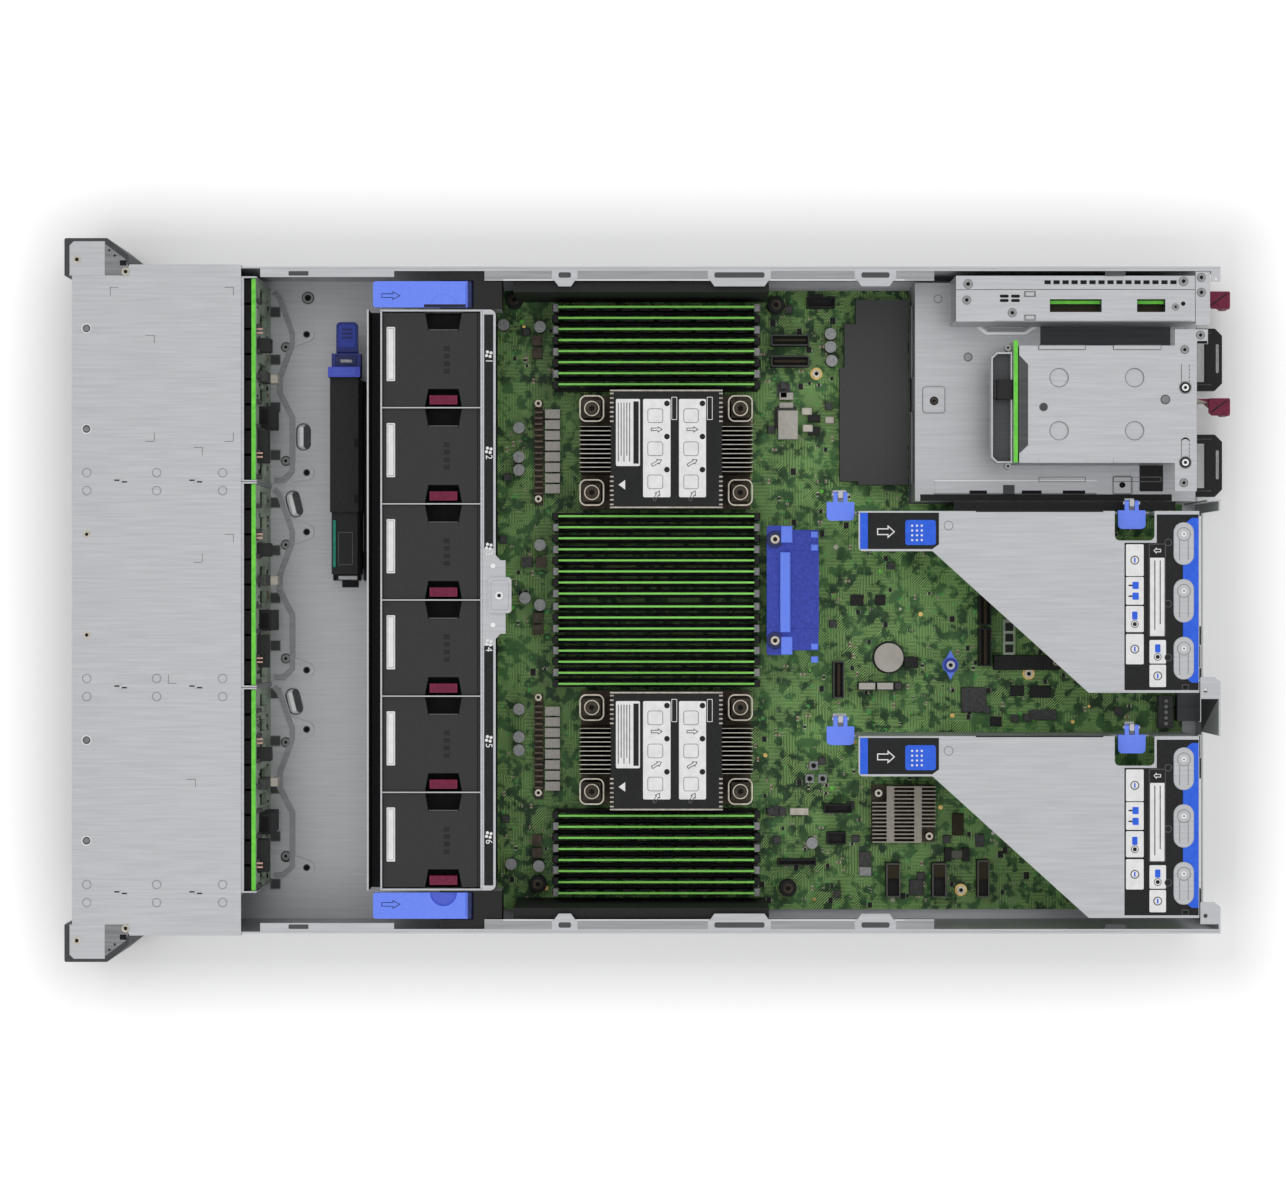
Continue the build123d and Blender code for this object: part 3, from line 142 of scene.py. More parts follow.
def circuit_board(name, dark, middle, trace, speck):
    """Solder mask over fine tracks that run in patches along X, along Y or slanted."""
    material, tree = new_material(name)
    place = add(tree, "TexCoord", {}).outputs["Object"]

    def noise(scale, detail):
        return add(tree, "TexNoise", {"Scale": scale, "Detail": detail, "Vector": place}).outputs["Fac"]

    def tracks(direction, scale):
        made = add(tree, "TexWave", {"Scale": scale, "Distortion": 1.5, "Detail": 2.0, "Detail Scale": 0.6,
                                     "Vector": place})
        made.bands_direction = direction
        return made.outputs["Fac"]

    def step(value, low, high):
        made = add(tree, "MapRange", {"From Min": low, "From Max": high, "Value": value})
        made.interpolation_type = "SMOOTHSTEP"
        return made.outputs["Result"]

    def mixed(factor, first, second):
        made = tree.nodes.new("ShaderNodeMix")
        made.data_type = "RGBA"
        feed(tree, made, {0: factor, 6: first, 7: second})
        return made.outputs[2]

    patches = add(tree, "TexVoronoi", {"Scale": 100.0, "Vector": place}).outputs["Color"]
    parts = add(tree, "SeparateColor", {"Color": patches})
    along = mixed(step(parts.outputs["Red"], 0.48, 0.52), tracks("X", 330.0), tracks("Y", 300.0))
    lines = mixed(step(parts.outputs["Green"], 0.80, 0.82), along, tracks("DIAGONAL", 330.0))
    ground = mixed(step(noise(60.0, 6.0), 0.36, 0.64), colour(*dark), colour(*middle))
    there = add(tree, "Math", {0: step(lines, 0.5, 0.85), 1: step(noise(150.0, 5.0), 0.42, 0.54)})
    there.operation = "MULTIPLY"
    tracked = mixed(there.outputs[0], ground, colour(*trace))
    blotched = mixed(step(noise(260.0, 2.0), 0.66, 0.76), tracked, colour(*speck))
    relief = add(tree, "Bump", {"Strength": 0.25, "Distance": TRACK_DEPTH, "Height": lines})
    feed(tree, tree.nodes["Principled BSDF"], {"Roughness": 0.42, "Specular IOR Level": SHINE,
                                               "Base Color": blotched, "Normal": relief.outputs["Normal"]})
    return material


GRAIN = (1.0, 0.045, 1.0)
STEEL = look("steel", (180, 182, 185), (192, 193, 196), (0.4, 0.52), 0.7, 620.0, stretch=GRAIN, spread=0.16)
# A darker copy of the steel: painted shade on the ear plates' sloping part, round rivets, dimples and
# pressed tabs, and elsewhere a plain darker steel
STEEL_DARK = look("steel_dark", (118, 119, 121), (140, 141, 143), (0.4, 0.55), 0.7,
                  stretch=GRAIN, spread=0.16)
# A brighter copy of the steel: painted highlight on the rail edges, the louvre lips and the power supply
# bay's bead, and elsewhere bright metal such as rivets, screws and the power button
STEEL_BRIGHT = look("steel_bright", (222, 223, 224), (238, 239, 240), (0.3, 0.4), 0.5, 400.0, stretch=GRAIN)
NICKEL = look("nickel", (168, 160, 146), (205, 198, 186), (0.28, 0.42), 0.9, 300.0, bump=0.1)
BRONZE = look("bronze", (56, 50, 43), (84, 76, 66), (0.4, 0.55), 0.6, 250.0, bump=0.2)
FIN_EDGE = look("fin_edge", (158, 152, 142), (190, 185, 176), (0.35, 0.45), 0.5, 350.0, bump=0.1)
# Near black for black parts, and for painted shade in holes, slots, grooves and recesses drawn as black
# patches
BLACK_AND_RECESS_SHADE = look("black_and_painted_recess_shade", (5, 5, 5), (12, 12, 12), (0.6, 0.8), scale=300.0)
BLACK = look("black_plastic", (24, 24, 25), (38, 38, 39), (0.5, 0.62), scale=900.0, bump=0.25)
FAN_BLACK = look("fan_plastic", (46, 46, 47), (54, 54, 55), (0.5, 0.62), scale=1100.0, bump=0.1)
EAR_GREY = look("ear_plastic", (58, 61, 63), (72, 75, 77), (0.45, 0.58), scale=900.0, bump=0.25)
PART_GREY = look("part_grey", (60, 60, 61), (82, 82, 83))
CAN_GREY = look("can_grey", (138, 139, 140), (164, 165, 166), (0.4, 0.5), 0.3, bump=0.1)
LATCH_GREY = look("latch_grey", (132, 132, 132), (158, 158, 158), scale=600.0)
BLUE = look("blue_plastic", (108, 138, 250), (114, 145, 255))
BLUE_LOW = look("blue_plastic_low", (50, 64, 160), (64, 80, 186), (0.45, 0.55), bump=0.15)
NAVY = look("navy_plastic", (36, 42, 84), (50, 58, 110), (0.45, 0.55), bump=0.15)
MAROON = look("maroon_plastic", (108, 26, 56), (128, 36, 70), (0.4, 0.5), bump=0.15)
WHITE = look("label_white", (226, 226, 226), (240, 240, 240), (0.55, 0.65), scale=200.0)
LABEL_BLACK = look("label_black", (16, 17, 18), (26, 27, 28), (0.45, 0.55), scale=300.0)
LABEL_BLUE = look("label_blue", (40, 92, 220), (52, 106, 232), (0.45, 0.55), scale=300.0)
# Dark grey for printed lines, and for painted shade on the flanks of the floor's beads and lobes, in rings
# round screws, rivets and holes and along press lines
INK_AND_SHADE = look("ink_and_painted_shade", (70, 70, 72), (100, 100, 102), (0.6, 0.7), scale=200.0)
# A darker copy of the steel: painted shade on the tops of the floor's brace beads and as the shadow beside
# the power supply bay's bead; also the rails' darker shelf and a rivet
STEEL_MID = look("steel_mid", (146, 148, 150), (160, 162, 164), (0.4, 0.52), 0.6, stretch=GRAIN, spread=0.16)
SHELF_GREY = look("shelf_grey", (72, 73, 75), (84, 85, 87), (0.45, 0.55), 0.3, stretch=GRAIN)
CHANNEL_GREY = look("channel_grey", (98, 98, 99), (112, 112, 113))
COVER_PLASTIC = look("cover_plastic", (66, 66, 67), (76, 76, 77), (0.5, 0.62), scale=900.0)
CELL_STEEL = look("cell_steel", (158, 154, 146), (184, 180, 172), (0.35, 0.45), 0.4, 60.0)
CAN_LIGHT = look("can_light", (184, 180, 172), (200, 196, 188), (0.45, 0.55))
MEMORY_EDGE = look("memory_edge", (130, 214, 90), (148, 226, 110), scale=300.0)
PACK_BLUE = look("pack_blue", (76, 86, 200), (88, 98, 216), (0.45, 0.55))
PACK_NAVY = look("pack_navy", (46, 56, 124), (58, 68, 142), (0.45, 0.55))
STRIP_BROWN = look("strip_brown", (100, 84, 74), (122, 104, 92), (0.45, 0.55), 0.4, 350.0)
BLUE_LINE = look("blue_line", (80, 98, 206), (86, 106, 214))
PIN_PINK = look("pin_pink", (178, 142, 132), (206, 170, 158), (0.35, 0.45), 0.5, 400.0)
TEAL = look("teal_edge", (24, 120, 104), (38, 146, 126), (0.45, 0.55), scale=300.0)
FIN_WARM = look("fin_warm", (146, 140, 130), (162, 156, 146), (0.4, 0.5), 0.4, 350.0, bump=0.1)
FRAME_GREY = look("frame_grey", (88, 88, 83), (102, 102, 96), scale=400.0)
SLOT_BROWN = look("slot_brown", (40, 33, 14), (52, 43, 20), scale=400.0)
ARM_BEIGE = look("arm_beige", (146, 140, 130), (170, 164, 152), (0.4, 0.5), 0.3, 400.0)
EDGE_GREEN = look("edge_green", (96, 196, 62), (124, 222, 82), scale=300.0)
PIN_GOLD = look("pin_gold", (182, 150, 84), (214, 186, 118), (0.25, 0.35), 0.9, 300.0)
TAN = look("tan_ceramic", (120, 100, 78), (158, 136, 108), scale=400.0)
NYLON = look("nylon", (196, 190, 178), (222, 216, 204), scale=300.0)
LENS_GREEN = look("lens_green", (70, 170, 90), (96, 200, 112), (0.2, 0.3), scale=300.0)
BOARD = circuit_board("board", (36, 64, 36), (74, 118, 66), (170, 214, 126), (84, 184, 92))
BOARD_PALE = circuit_board("board_pale", (134, 154, 132), (168, 184, 162), (186, 200, 178), (150, 190, 146))
ROTOR = look("rotor_plastic", (18, 18, 19), (30, 30, 31), (0.4, 0.5))
FLOOR = look("floor_white", (244, 244, 244), (247, 247, 247), (0.8, 0.9), scale=2.0)


def paint(node, base, *rules):
    """Gives a CAD node its material, and other materials to the faces that a rule picks."""
    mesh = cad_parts[node].data
    mesh.materials.clear()
    for material in [base] + [rule[0] for rule in rules]:
        mesh.materials.append(material)
    for face in mesh.polygons:
        face.material_index = 0
        middle = face.center / MM
        for number, (_, test) in enumerate(rules):
            if test(middle, face.normal):
                face.material_index = number + 1


def up(middle, normal):
    """True for a face that looks up."""
    return normal.z > 0.9


class Form:
    """A mesh gathered from closed shapes in millimetres, each turned and moved by place."""

    def __init__(self, x=0.0, y=0.0, z=0.0):
        self.points = []
        self.faces = []
        self.marks = []
        self.looks = []
        self.at(x, y, z)

    def at(self, x=0.0, y=0.0, z=0.0, turn=0.0):
        """Moves the zero point of the shapes that follow, and turns them."""
        self.place = Matrix.Translation((x, y, z)) @ Matrix.Rotation(radians(turn), 4, "Z")

    def skin(self, rings, material, capped=True):
        """Faces over rings of points, with both ends closed or the last ring joined to the first."""
        first = len(self.points)
        count = len(rings[0])
        levels = len(rings)
        for ring in rings:
            self.points.extend(self.place @ Vector(point) for point in ring)
        if material not in self.looks:
            self.looks.append(material)
        made = []
        if capped:
            made.append(tuple(reversed(range(first, first + count))))
            made.append(tuple(range(first + count * (levels - 1), first + count * levels)))
        for level in range(levels - 1 if capped else levels):
            low = first + level * count
            high = first + (level + 1) % levels * count
            for n in range(count):
                m = (n + 1) % count
                made.append((low + n, low + m, high + m, high + n))
        self.faces.extend(made)
        self.marks.extend([self.looks.index(material)] * len(made))

    def prism(self, outline, z, material, chamfer=0.0):
        """Outline raised between two heights, or to one height, with a chamfer round its top."""
        z = z if isinstance(z, tuple) else (0, z)
        outline = counter_clockwise(outline)
        rings = [[(x, y, z[0]) for x, y in outline]]
        rings.append([(x, y, z[1] - chamfer) for x, y in outline])
        if chamfer:
            rings.append([(x, y, z[1]) for x, y in inset(outline, chamfer)])
        self.skin(rings, material)

    def box(self, x, y, z, material, chamfer=0.0):
        x, y = sorted(x), sorted(y)
        self.prism([(x[0], y[0]), (x[1], y[0]), (x[1], y[1]), (x[0], y[1])], z, material, chamfer)

    def disc(self, x, y, radius, z, material, sides=20, chamfer=0.0):
        self.prism(circle(x, y, radius, sides), z, material, chamfer)

    def collar(self, outer, inner, z, material):
        """Wall between two outlines with as many points each."""
        z = z if isinstance(z, tuple) else (0, z)
        outer, inner = counter_clockwise(outer), counter_clockwise(inner)
        self.skin([[(x, y, z[0]) for x, y in outer], [(x, y, z[1]) for x, y in outer],
                   [(x, y, z[1]) for x, y in inner], [(x, y, z[0]) for x, y in inner]], material, False)

    def ring(self, x, y, radii, z, material, sides=20):
        """Wall between two circles."""
        inner, outer = radii
        self.collar(circle(x, y, outer, sides), circle(x, y, inner, sides), z, material)

    def pad(self, x, y, radius, z, material, chamfer=0.0, steps=5):
        """Block with round corners."""
        self.prism(rounded(x, y, radius, steps), z, material, chamfer)

    def finish(self, name, body="chassis", slot=None):
        """The object, which rides on its body."""
        mesh = bpy.data.meshes.new(name)
        mesh.from_pydata([point * MM for point in self.points], [], self.faces)
        for material in self.looks:
            mesh.materials.append(material)
        mesh.polygons.foreach_set("material_index", self.marks)
        mesh.update()
        piece = bpy.data.objects.new(name, mesh)
        bpy.context.scene.collection.objects.link(piece)
        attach(piece, body)
        return piece


def counter_clockwise(outline):
    area = sum(a[0] * b[1] - b[0] * a[1] for a, b in zip(outline, outline[1:] + outline[:1]))
    return list(outline) if area > 0 else list(reversed(outline))


def inset(outline, distance):
    """The outline moved inward by a distance."""
    made = []
    for n, here in enumerate(outline):
        before, after = Vector(outline[n - 1]), Vector(outline[(n + 1) % len(outline)])
        first, second = (Vector(here) - before).normalized(), (after - Vector(here)).normalized()
        normals = Vector((-first.y, first.x)) + Vector((-second.y, second.x))
        shift = normals * distance / max(0.3, normals.length_squared / 2)
        made.append((here[0] + shift.x, here[1] + shift.y))
    return made


def span(middle, half):
    """Both ends of a stretch round its middle."""
    return (middle - half, middle + half)


def circle(x, y, radius, sides=20, lobes=0, depth=0.0):
    """Round outline, or a lobed one."""
    made = []
    for n in range(sides):
        turn = 2 * pi * n / sides
        reach = radius * (1 + depth * cos(lobes * turn))
        made.append((x + reach * cos(turn), y + reach * sin(turn)))
    return made


def rounded(x, y, radius, steps=5):
    """Rectangle outline with round corners."""
    x, y = sorted(x), sorted(y)
    made = []
    for right, back, start in ((1, 1, 0), (0, 1, 90), (0, 0, 180), (1, 0, 270)):
        centre_x = x[1] - radius if right else x[0] + radius
        centre_y = y[1] - radius if back else y[0] + radius
        for n in range(steps + 1):
            turn = radians(start + 90 * n / steps)
            made.append((centre_x + radius * cos(turn), centre_y + radius * sin(turn)))
    return made


def screw(form, x, y, z, radius, material, height=1.2):
    """Pan head with a six-lobed socket, whose floor is a black disc painted as the socket's shade."""
    form.collar(circle(x, y, radius, 24), circle(x, y, radius * 0.5, 24, 6, 0.18), (z, z + height), material)
    form.disc(x, y, radius * 0.62, (z, z + height * 0.35), BLACK_AND_RECESS_SHADE, 12)


def frame_line(form, x, y, z, width, material, radius=0.6):
    """Thin line round a rectangle."""
    outer = rounded(x, y, radius)
    form.collar(outer, inset(counter_clockwise(outer), width), z, material)


def arrow(form, x, y, length, width, line, z, material, turn=0):
    """Outline of a block arrow that points along +Y, or turned."""
    half, stem = width / 2, width / 4
    head = length * 0.42
    outer = [(-stem, -length / 2), (stem, -length / 2), (stem, length / 2 - head), (half, length / 2 - head),
             (0, length / 2), (-half, length / 2 - head), (-stem, length / 2 - head)]
    spin = Matrix.Rotation(radians(turn), 2)
    placed = counter_clockwise([tuple(Vector((x, y)) + spin @ Vector(point)) for point in outer])
    form.collar(placed, inset(placed, line), z, material)


def figure(text, name, x, y, z, size, material, body):
    """A plain numeral lying on a surface, as a mesh."""
    curve = bpy.data.curves.new(name + "_curve", "FONT")
    curve.body = text
    curve.size = size * MM
    curve.align_x = "CENTER"
    curve.align_y = "CENTER"
    curve.extrude = 0.00004
    holder = bpy.data.objects.new(name + "_holder", curve)
    mesh = bpy.data.meshes.new_from_object(holder)
    bpy.data.objects.remove(holder)
    bpy.data.curves.remove(curve)
    mesh.name = name
    mesh.materials.clear()
    mesh.materials.append(material)
    mesh.transform(Matrix.Translation(Vector((x, y, z)) * MM))
    piece = bpy.data.objects.new(name, mesh)
    bpy.context.scene.collection.objects.link(piece)
    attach(piece, body)
    return piece


# Materials of the CAD nodes
PLAIN = ((STEEL, ("chassis_tray", "drive_bay_cover", "psu_bay", "rear_drive_cage", "boot_device_cage")),
         (BLACK, ("ear_lever_left", "ear_lever_right", "processor_sockets", "air_baffles",
                  "energy_pack_holder", "rear_drive_bank", "drive_bank_1", "drive_bank_2", "drive_bank_3")),
         (BLUE, ("board_plunger", "riser_tab_1", "riser_tab_2", "riser_tab_3", "riser_tab_4")),
         (EAR_GREY, ("rack_ear_left", "rack_ear_right")), (STEEL_BRIGHT, ("power_button",)),
         (BOARD, ("system_board",)), (NICKEL, ("processors",)), (BLUE_LOW, ("board_handle",)),
         (COVER_PLASTIC, ("power_board_cover",)), (PACK_NAVY, ("energy_pack_latch",)))
for material, nodes in PLAIN:
    for node in nodes:
        paint(node, material)
for shift, node in ((0, "riser_cage_1"), (RISER_PITCH, "riser_cage_2")):
    paint(node, STEEL,
          (BOARD, lambda m, n, s=shift: -56.6 < m.x - s < -54.7 and 191 < m.y < 301),
          (BLACK, lambda m, n, s=shift: -54.8 <= m.x - s < -42 and 199 < m.y < 290 and m.z < 80))
paint("drive_backplanes", BOARD_PALE, (EDGE_GREEN, lambda m, n: n.z > 0.9 and m.z > 83),
      (BLACK, lambda m, n: -266.8 < m.y < -250))
paint("heat_sinks", BRONZE, (FIN_EDGE, lambda m, n: n.z > 0.9 and m.z > 70),
      (LABEL_BLACK, lambda m, n: n.z > 0.9 and m.z > 75.5))
paint("board_components", BRONZE, (CAN_GREY, lambda m, n: n.z > 0.9 and abs(m.z - 18.2) < 0.1),
      (PART_GREY, lambda m, n: m.z < 15.4 and abs(m.y + 80.2) > 3.2), (BLACK, lambda m, n: n.z < 0.9),
      (CAN_LIGHT, lambda m, n: abs(m.y + 70.7) < 6 and n.z > 0.9))
paint("board_connectors", BLACK, (SHELF_GREY, lambda m, n: m.y > 355))
paint("rear_wall", STEEL, (SHELF_GREY, lambda m, n: 66.5 < m.x < 82 and m.z < 83))
# Painted shade: the tops of the floor's brace beads are a darker steel and the side faces of the beads and
# lobes dark grey, so their relief shows
paint("drive_cages", STEEL, (STEEL_MID, lambda m, n: m.y > -266 and 2.9 < m.z < 3.1 and n.z > 0.9),
      (INK_AND_SHADE, lambda m, n: m.y > -266 and m.z < 3 and abs(n.z) < 0.5))
paint("chipset_heat_sink", BRONZE, (FIN_WARM, lambda m, n: n.z > 0.9 and m.z > 19))
paint("coin_cell", BLACK, (CELL_STEEL, lambda m, n: m.z > 11.3 and n.z > -0.5))
paint("fan_cage_handle_left", BLUE, (NAVY, lambda m, n: m.y > -126))
paint("fan_cage_handle_right", BLUE,
      (BLUE_LINE, lambda m, n: n.z > 0.9 and m.z < HANDLE_TOP - 1 and m.y > -152),
      (NAVY, lambda m, n: m.y > -126))
paint("boot_device", BLACK, (BOARD, lambda m, n: m.y < 358.9),
      (EDGE_GREEN, lambda m, n: m.y < 358.9 and n.z > 0.9))
paint("energy_pack", BLACK, (PACK_BLUE, lambda m, n: m.x < -151.5), (PACK_NAVY, lambda m, n: m.x < -158.4))
# Painted shade: the front channel's floor is dark grey, and the cage's faces below 80 mm within its sides
# are black
paint("fan_cage", STEEL, (BLACK, lambda m, n: abs(m.x) > 194),
      (CHANNEL_GREY, lambda m, n: m.y < -184 and m.z < 62),
      (BLACK, lambda m, n: m.z < 80 and abs(m.x) < 192))
for n, fan_x in enumerate(FAN_X):
    # Painted shade: the recessed up-facing faces of each fan housing are near black
    paint(f"fan_housing_{n + 1}", FAN_BLACK, (BLACK_AND_RECESS_SHADE, lambda m, k: k.z > 0.9 and 60 < m.z < FAN_TOP - 1),
          (MAROON, lambda m, k, x=fan_x: x + 23.6 < m.x < x + 29.9 and abs(m.y + 141.6) < 9.3
           and m.z > 69.9))
    paint(f"fan_rotor_{n + 1}", ROTOR)
for n in (1, 2):
    paint(f"psu_{n}", STEEL, (BLACK, lambda m, n: m.y > 368.55),
          (BLACK_AND_RECESS_SHADE, lambda m, n: 352 < m.y < 368.4))
    paint(f"psu_latch_{n}", MAROON, (ARM_BEIGE, lambda m, n: m.y < 379.2))
for node in ("fan_cage_handle_left", "fan_cage_handle_right", "board_handle", "board_plunger",
             "rack_ear_left", "rack_ear_right", "drive_bay_cover"):
    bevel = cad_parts[node].modifiers.new("soft_edges", "BEVEL")
    bevel.width = 0.4 * MM
    bevel.segments = 2
    bevel.limit_method = "ANGLE"
    bevel.angle_limit = radians(50)

# Memory: bright board edges, chips on both faces, and latches that alternate from grey to black
MEMORY_PITCH = 7.53
MEMORY_Y = 0.85
MEMORY_INNER = 4.4
MEMORY_OUTER = 147
MEMORY_X = [side * (start + MEMORY_PITCH * n)
            for side in (-1, 1) for start in (MEMORY_INNER, MEMORY_OUTER) for n in range(8)]


def grey_latch(m, n):
    """True on every other latch, counted from the middle of the board or from the outer edge."""
    if m.z < 16.3:
        return False
    reach = abs(m.x)
    inner = reach < 62
    place = round((reach - (MEMORY_INNER if inner else MEMORY_OUTER)) / MEMORY_PITCH)
    return place % 2 == (0 if inner else 1)


paint("memory_sockets", BLACK, (LATCH_GREY, grey_latch))
paint("memory_modules", BOARD, (MEMORY_EDGE, up))
chips = Form()
for x in MEMORY_X:
    for n in range(10):
        y = MEMORY_Y + (n - 4.5) * CHIP_PITCH
        chips.box(span(x, 1.6), span(y, 4.6), (22, 33.5), BLACK)
chips.finish("memory_chips")

# Cover over the drive bays: screws, rivets, lanced tabs and press marks
trim = Form(z=COVER_TOP)
for x in (-181.1, -114.1, 93.5, 160.5):
    trim.disc(x, -379.3, 2.1, (-1.1, -0.4), STEEL_DARK, 20, 0.3)
    trim.ring(x, -379.3, (2.8, 3.3), 0.15, STEEL_BRIGHT)
# A dark ring round the foot of each rivet is painted shade
for x in (-84.9, -72.9, 52.3, 64.4, 189.7, 201.7):
    for y in (-379.1, -332.5, -288.5):
        trim.ring(x, y, (2.7, 3.1), 0.06, STEEL_DARK)
        trim.disc(x, y, 2.5, 0.25, STEEL, 20, 0.2)
for x in (-43.8, 23.3):
    screw(trim, x, -379.1, 0, 2.4, NICKEL, 0.3)
# The slits beside each lanced tab are black strips painted as their shade
for x in (-79.3, 57.9, 195.1):
    for y in (-356.5, -306.4):
        trim.box((x - 1, x - 0.1), (y - 4.2, y + 0.6), 0.1, BLACK_AND_RECESS_SHADE)
        trim.box((x + 0.1, x + 1), (y - 0.6, y + 4.2), 0.1, BLACK_AND_RECESS_SHADE)
        trim.box(span(x, 1.6), span(y, 0.9), 0.35, STEEL, 0.2)
for x, y, dx, dy in ((-208.7, -363.6, 1, 1), (-208.7, -281.6, 1, -1), (-176.7, -334.3, 1, -1),
                     (-106, -334.3, -1, -1), (-106, -281.6, -1, -1), (-102, -302.3, 1, -1),
                     (-44, -281.6, 1, -1), (-25.3, -302.3, -1, -1), (55.3, -324.9, -1, 1),
                     (119.3, -306.9, 1, -1)):
    trim.box((x, x + dx * 5.6), (y, y + 0.5), 0.04, STEEL_DARK)
    trim.box((x, x + 0.5), (y, y + dy * 5.6), 0.04, STEEL_DARK)
trim.finish("cover_trim", slot=SHEET)

# Top plates of the rack ears, inside their plastic trim
for side, name in ((-1, "left"), (1, "right")):
    plate = Form(z=COVER_TOP)
    front = ((216.3, -390.6), (236.4, -390.6), (239.2, -387.8), (239.2, -367), (216.3, -367))
    plate.prism([(side * x, y) for x, y in front], (-0.2, 0.3), STEEL, 0.2)
    # The sloping part is drawn flat in a darker steel, painted shade for its slope
    slope = ((216.3, -367), (237.6, -367), (227.4, -353.4), (222.6, -351.4), (216.3, -351.4))
    plate.prism([(side * x, y) for x, y in slope], (-0.2, 0.1), STEEL_DARK, 0.1)
    screw(plate, side * 227, -385.6, 0.3, 2.6, NICKEL, 0.3)
    screw(plate, side * 218.9, -353.2, 0.1, 2.6, NICKEL, 0.4)
    # Black discs and a black slot stand for holes, painted as their shade
    for x, y in ((233.2, -364), (229.6, -360.4)):
        plate.disc(side * x, y, 0.8, 0.15, BLACK_AND_RECESS_SHADE, 10)
    plate.box((side * 223, side * 226.5), (-357, -352.6), 0.2, BLACK_AND_RECESS_SHADE)
    plate.finish(f"ear_plate_{name}", slot=SHEET)

# Drive backplanes: connectors towards the drives, headers and small parts behind
BAY_LEFT = -216.1
BAY_PITCH = 137.2
plane = Form()
draw = Random(3)
for bay in range(3):
    x0 = BAY_LEFT + bay * BAY_PITCH
    for n in range(8):
        x = x0 + BAY_PITCH / 2 + (n - 3.5) * DRIVE_PITCH
        plane.box(span(x, 6.8), (-272.8, -269.7), (16, 29), BLACK)
        plane.box(span(x, 7.6), (-275.4, -269.7), (61, 83), BLACK_AND_RECESS_SHADE)
        plane.box((x + 4.6, x + 7.4), (-266.9, -264.9), (66, 80), PART_GREY, 0.3)
    for offset in (34.8, 37.4, 117.8, 120.4):
        plane.box(span(x0 + offset, 0.6), (-266.9, -262.6), (79.6, 81), PIN_PINK, 0.2)
    plane.box((x0 + 61.9, x0 + 69.2), (-266.9, -261.6), (46, 72), PART_GREY, 0.4)
    plane.box((x0 + 62.6, x0 + 68.6), (-266.9, -256.9), (34, 46), NYLON, 0.4)
    plane.box((x0 + 85.6, x0 + 99.6), (-266.9, -258.8), (22, 66), BLACK, 0.4)
    plane.box((x0 + 87.6, x0 + 97.6), (-265.4, -260.4), (66, 66.4), BLACK_AND_RECESS_SHADE)
    for _ in range(40):
        x, z = draw.uniform(x0 + 6, x0 + 130), draw.choice((20, 24, 64, 68, 76))
        plane.box((x, x + draw.uniform(1.2, 3)), (-266.9, -266.3 + draw.random() * 0.4),
                  (z, z + draw.uniform(0.8, 2)), draw.choice((BLACK, TAN, PART_GREY)))
plane.finish("backplane_parts")

# Floor between the drives and the fans: pressed louvres, ring screws and the rivets of the braces
floor = Form()
for x, y, turn in ((-113.3, -244.2, 0), (-66.7, -250.6, 14), (70.5, -250.6, 14)):
    floor.at(x, y, 0, turn)
    floor.prism(rounded((-9.6, 9.6), (-5.2, 5.2), 5.1, 8), (1.2, 2.6), STEEL, 1.2)
    # Painted shade and highlight: each louvre's opening is a dark grey patch, and the lip before it a bright
    # strip
    floor.prism(rounded((-8.2, 8.2), (0.2, 4.6), 2.1, 8), (2.3, 2.7), SHELF_GREY, 0.2)
    floor.prism(rounded((-7, 7), (-2.6, 0), 1.2, 8), (2.6, 2.8), STEEL_BRIGHT, 0.1)
floor.at()
# Painted shade: dark rings round the ring screws, rivets and lobe holes, and black discs for the holes
for x, y in ((-209.9, -241.1), (178.6, -256.3)):
    floor.ring(x, y, (3.7, 4.4), (1.2, 1.5), INK_AND_SHADE)
    floor.ring(x, y, (2.2, 3.7), (1.2, 2.2), CAN_GREY)
    floor.disc(x, y, 2.2, (1.2, 1.4), BLACK_AND_RECESS_SHADE, 16)
# Square cut-outs, each a dark patch painted as the shade of the opening, in a lighter border
for n in range(13):
    x = -200 + 33.1 * n
    border = rounded(span(x, 3.9), (-267.4, -259.8), 0.6)
    floor.collar(border, rounded(span(x, 3.3), (-266.8, -260.4), 0.3), (2.2, 2.4), CAN_GREY)
    floor.pad(span(x, 3.3), (-266.8, -260.4), 0.3, (2.2, 2.3), SHELF_GREY)
for bay in range(3):
    x0 = BAY_LEFT + bay * BAY_PITCH + 0.2
    for offset in (40.3, 119.3):
        floor.disc(x0 + offset, -256.3, 3, (2.2, 3.2), CAN_GREY, 18, 0.4)
        floor.ring(x0 + offset, -256.3, (3, 3.6), (2.2, 2.4), INK_AND_SHADE)
        screw(floor, x0 + offset, -256.3, 3.2, 2.2, CAN_GREY, 0.3)
    for lobe in (31.4, 127.4):
        floor.ring(x0 + lobe, -241.9, (1.8, 2.4), (2.2, 2.5), INK_AND_SHADE)
        floor.disc(x0 + lobe, -241.9, 1.8, (1.3, 2.3), BLACK_AND_RECESS_SHADE, 18)
floor.finish("floor_parts", slot=SHEET)

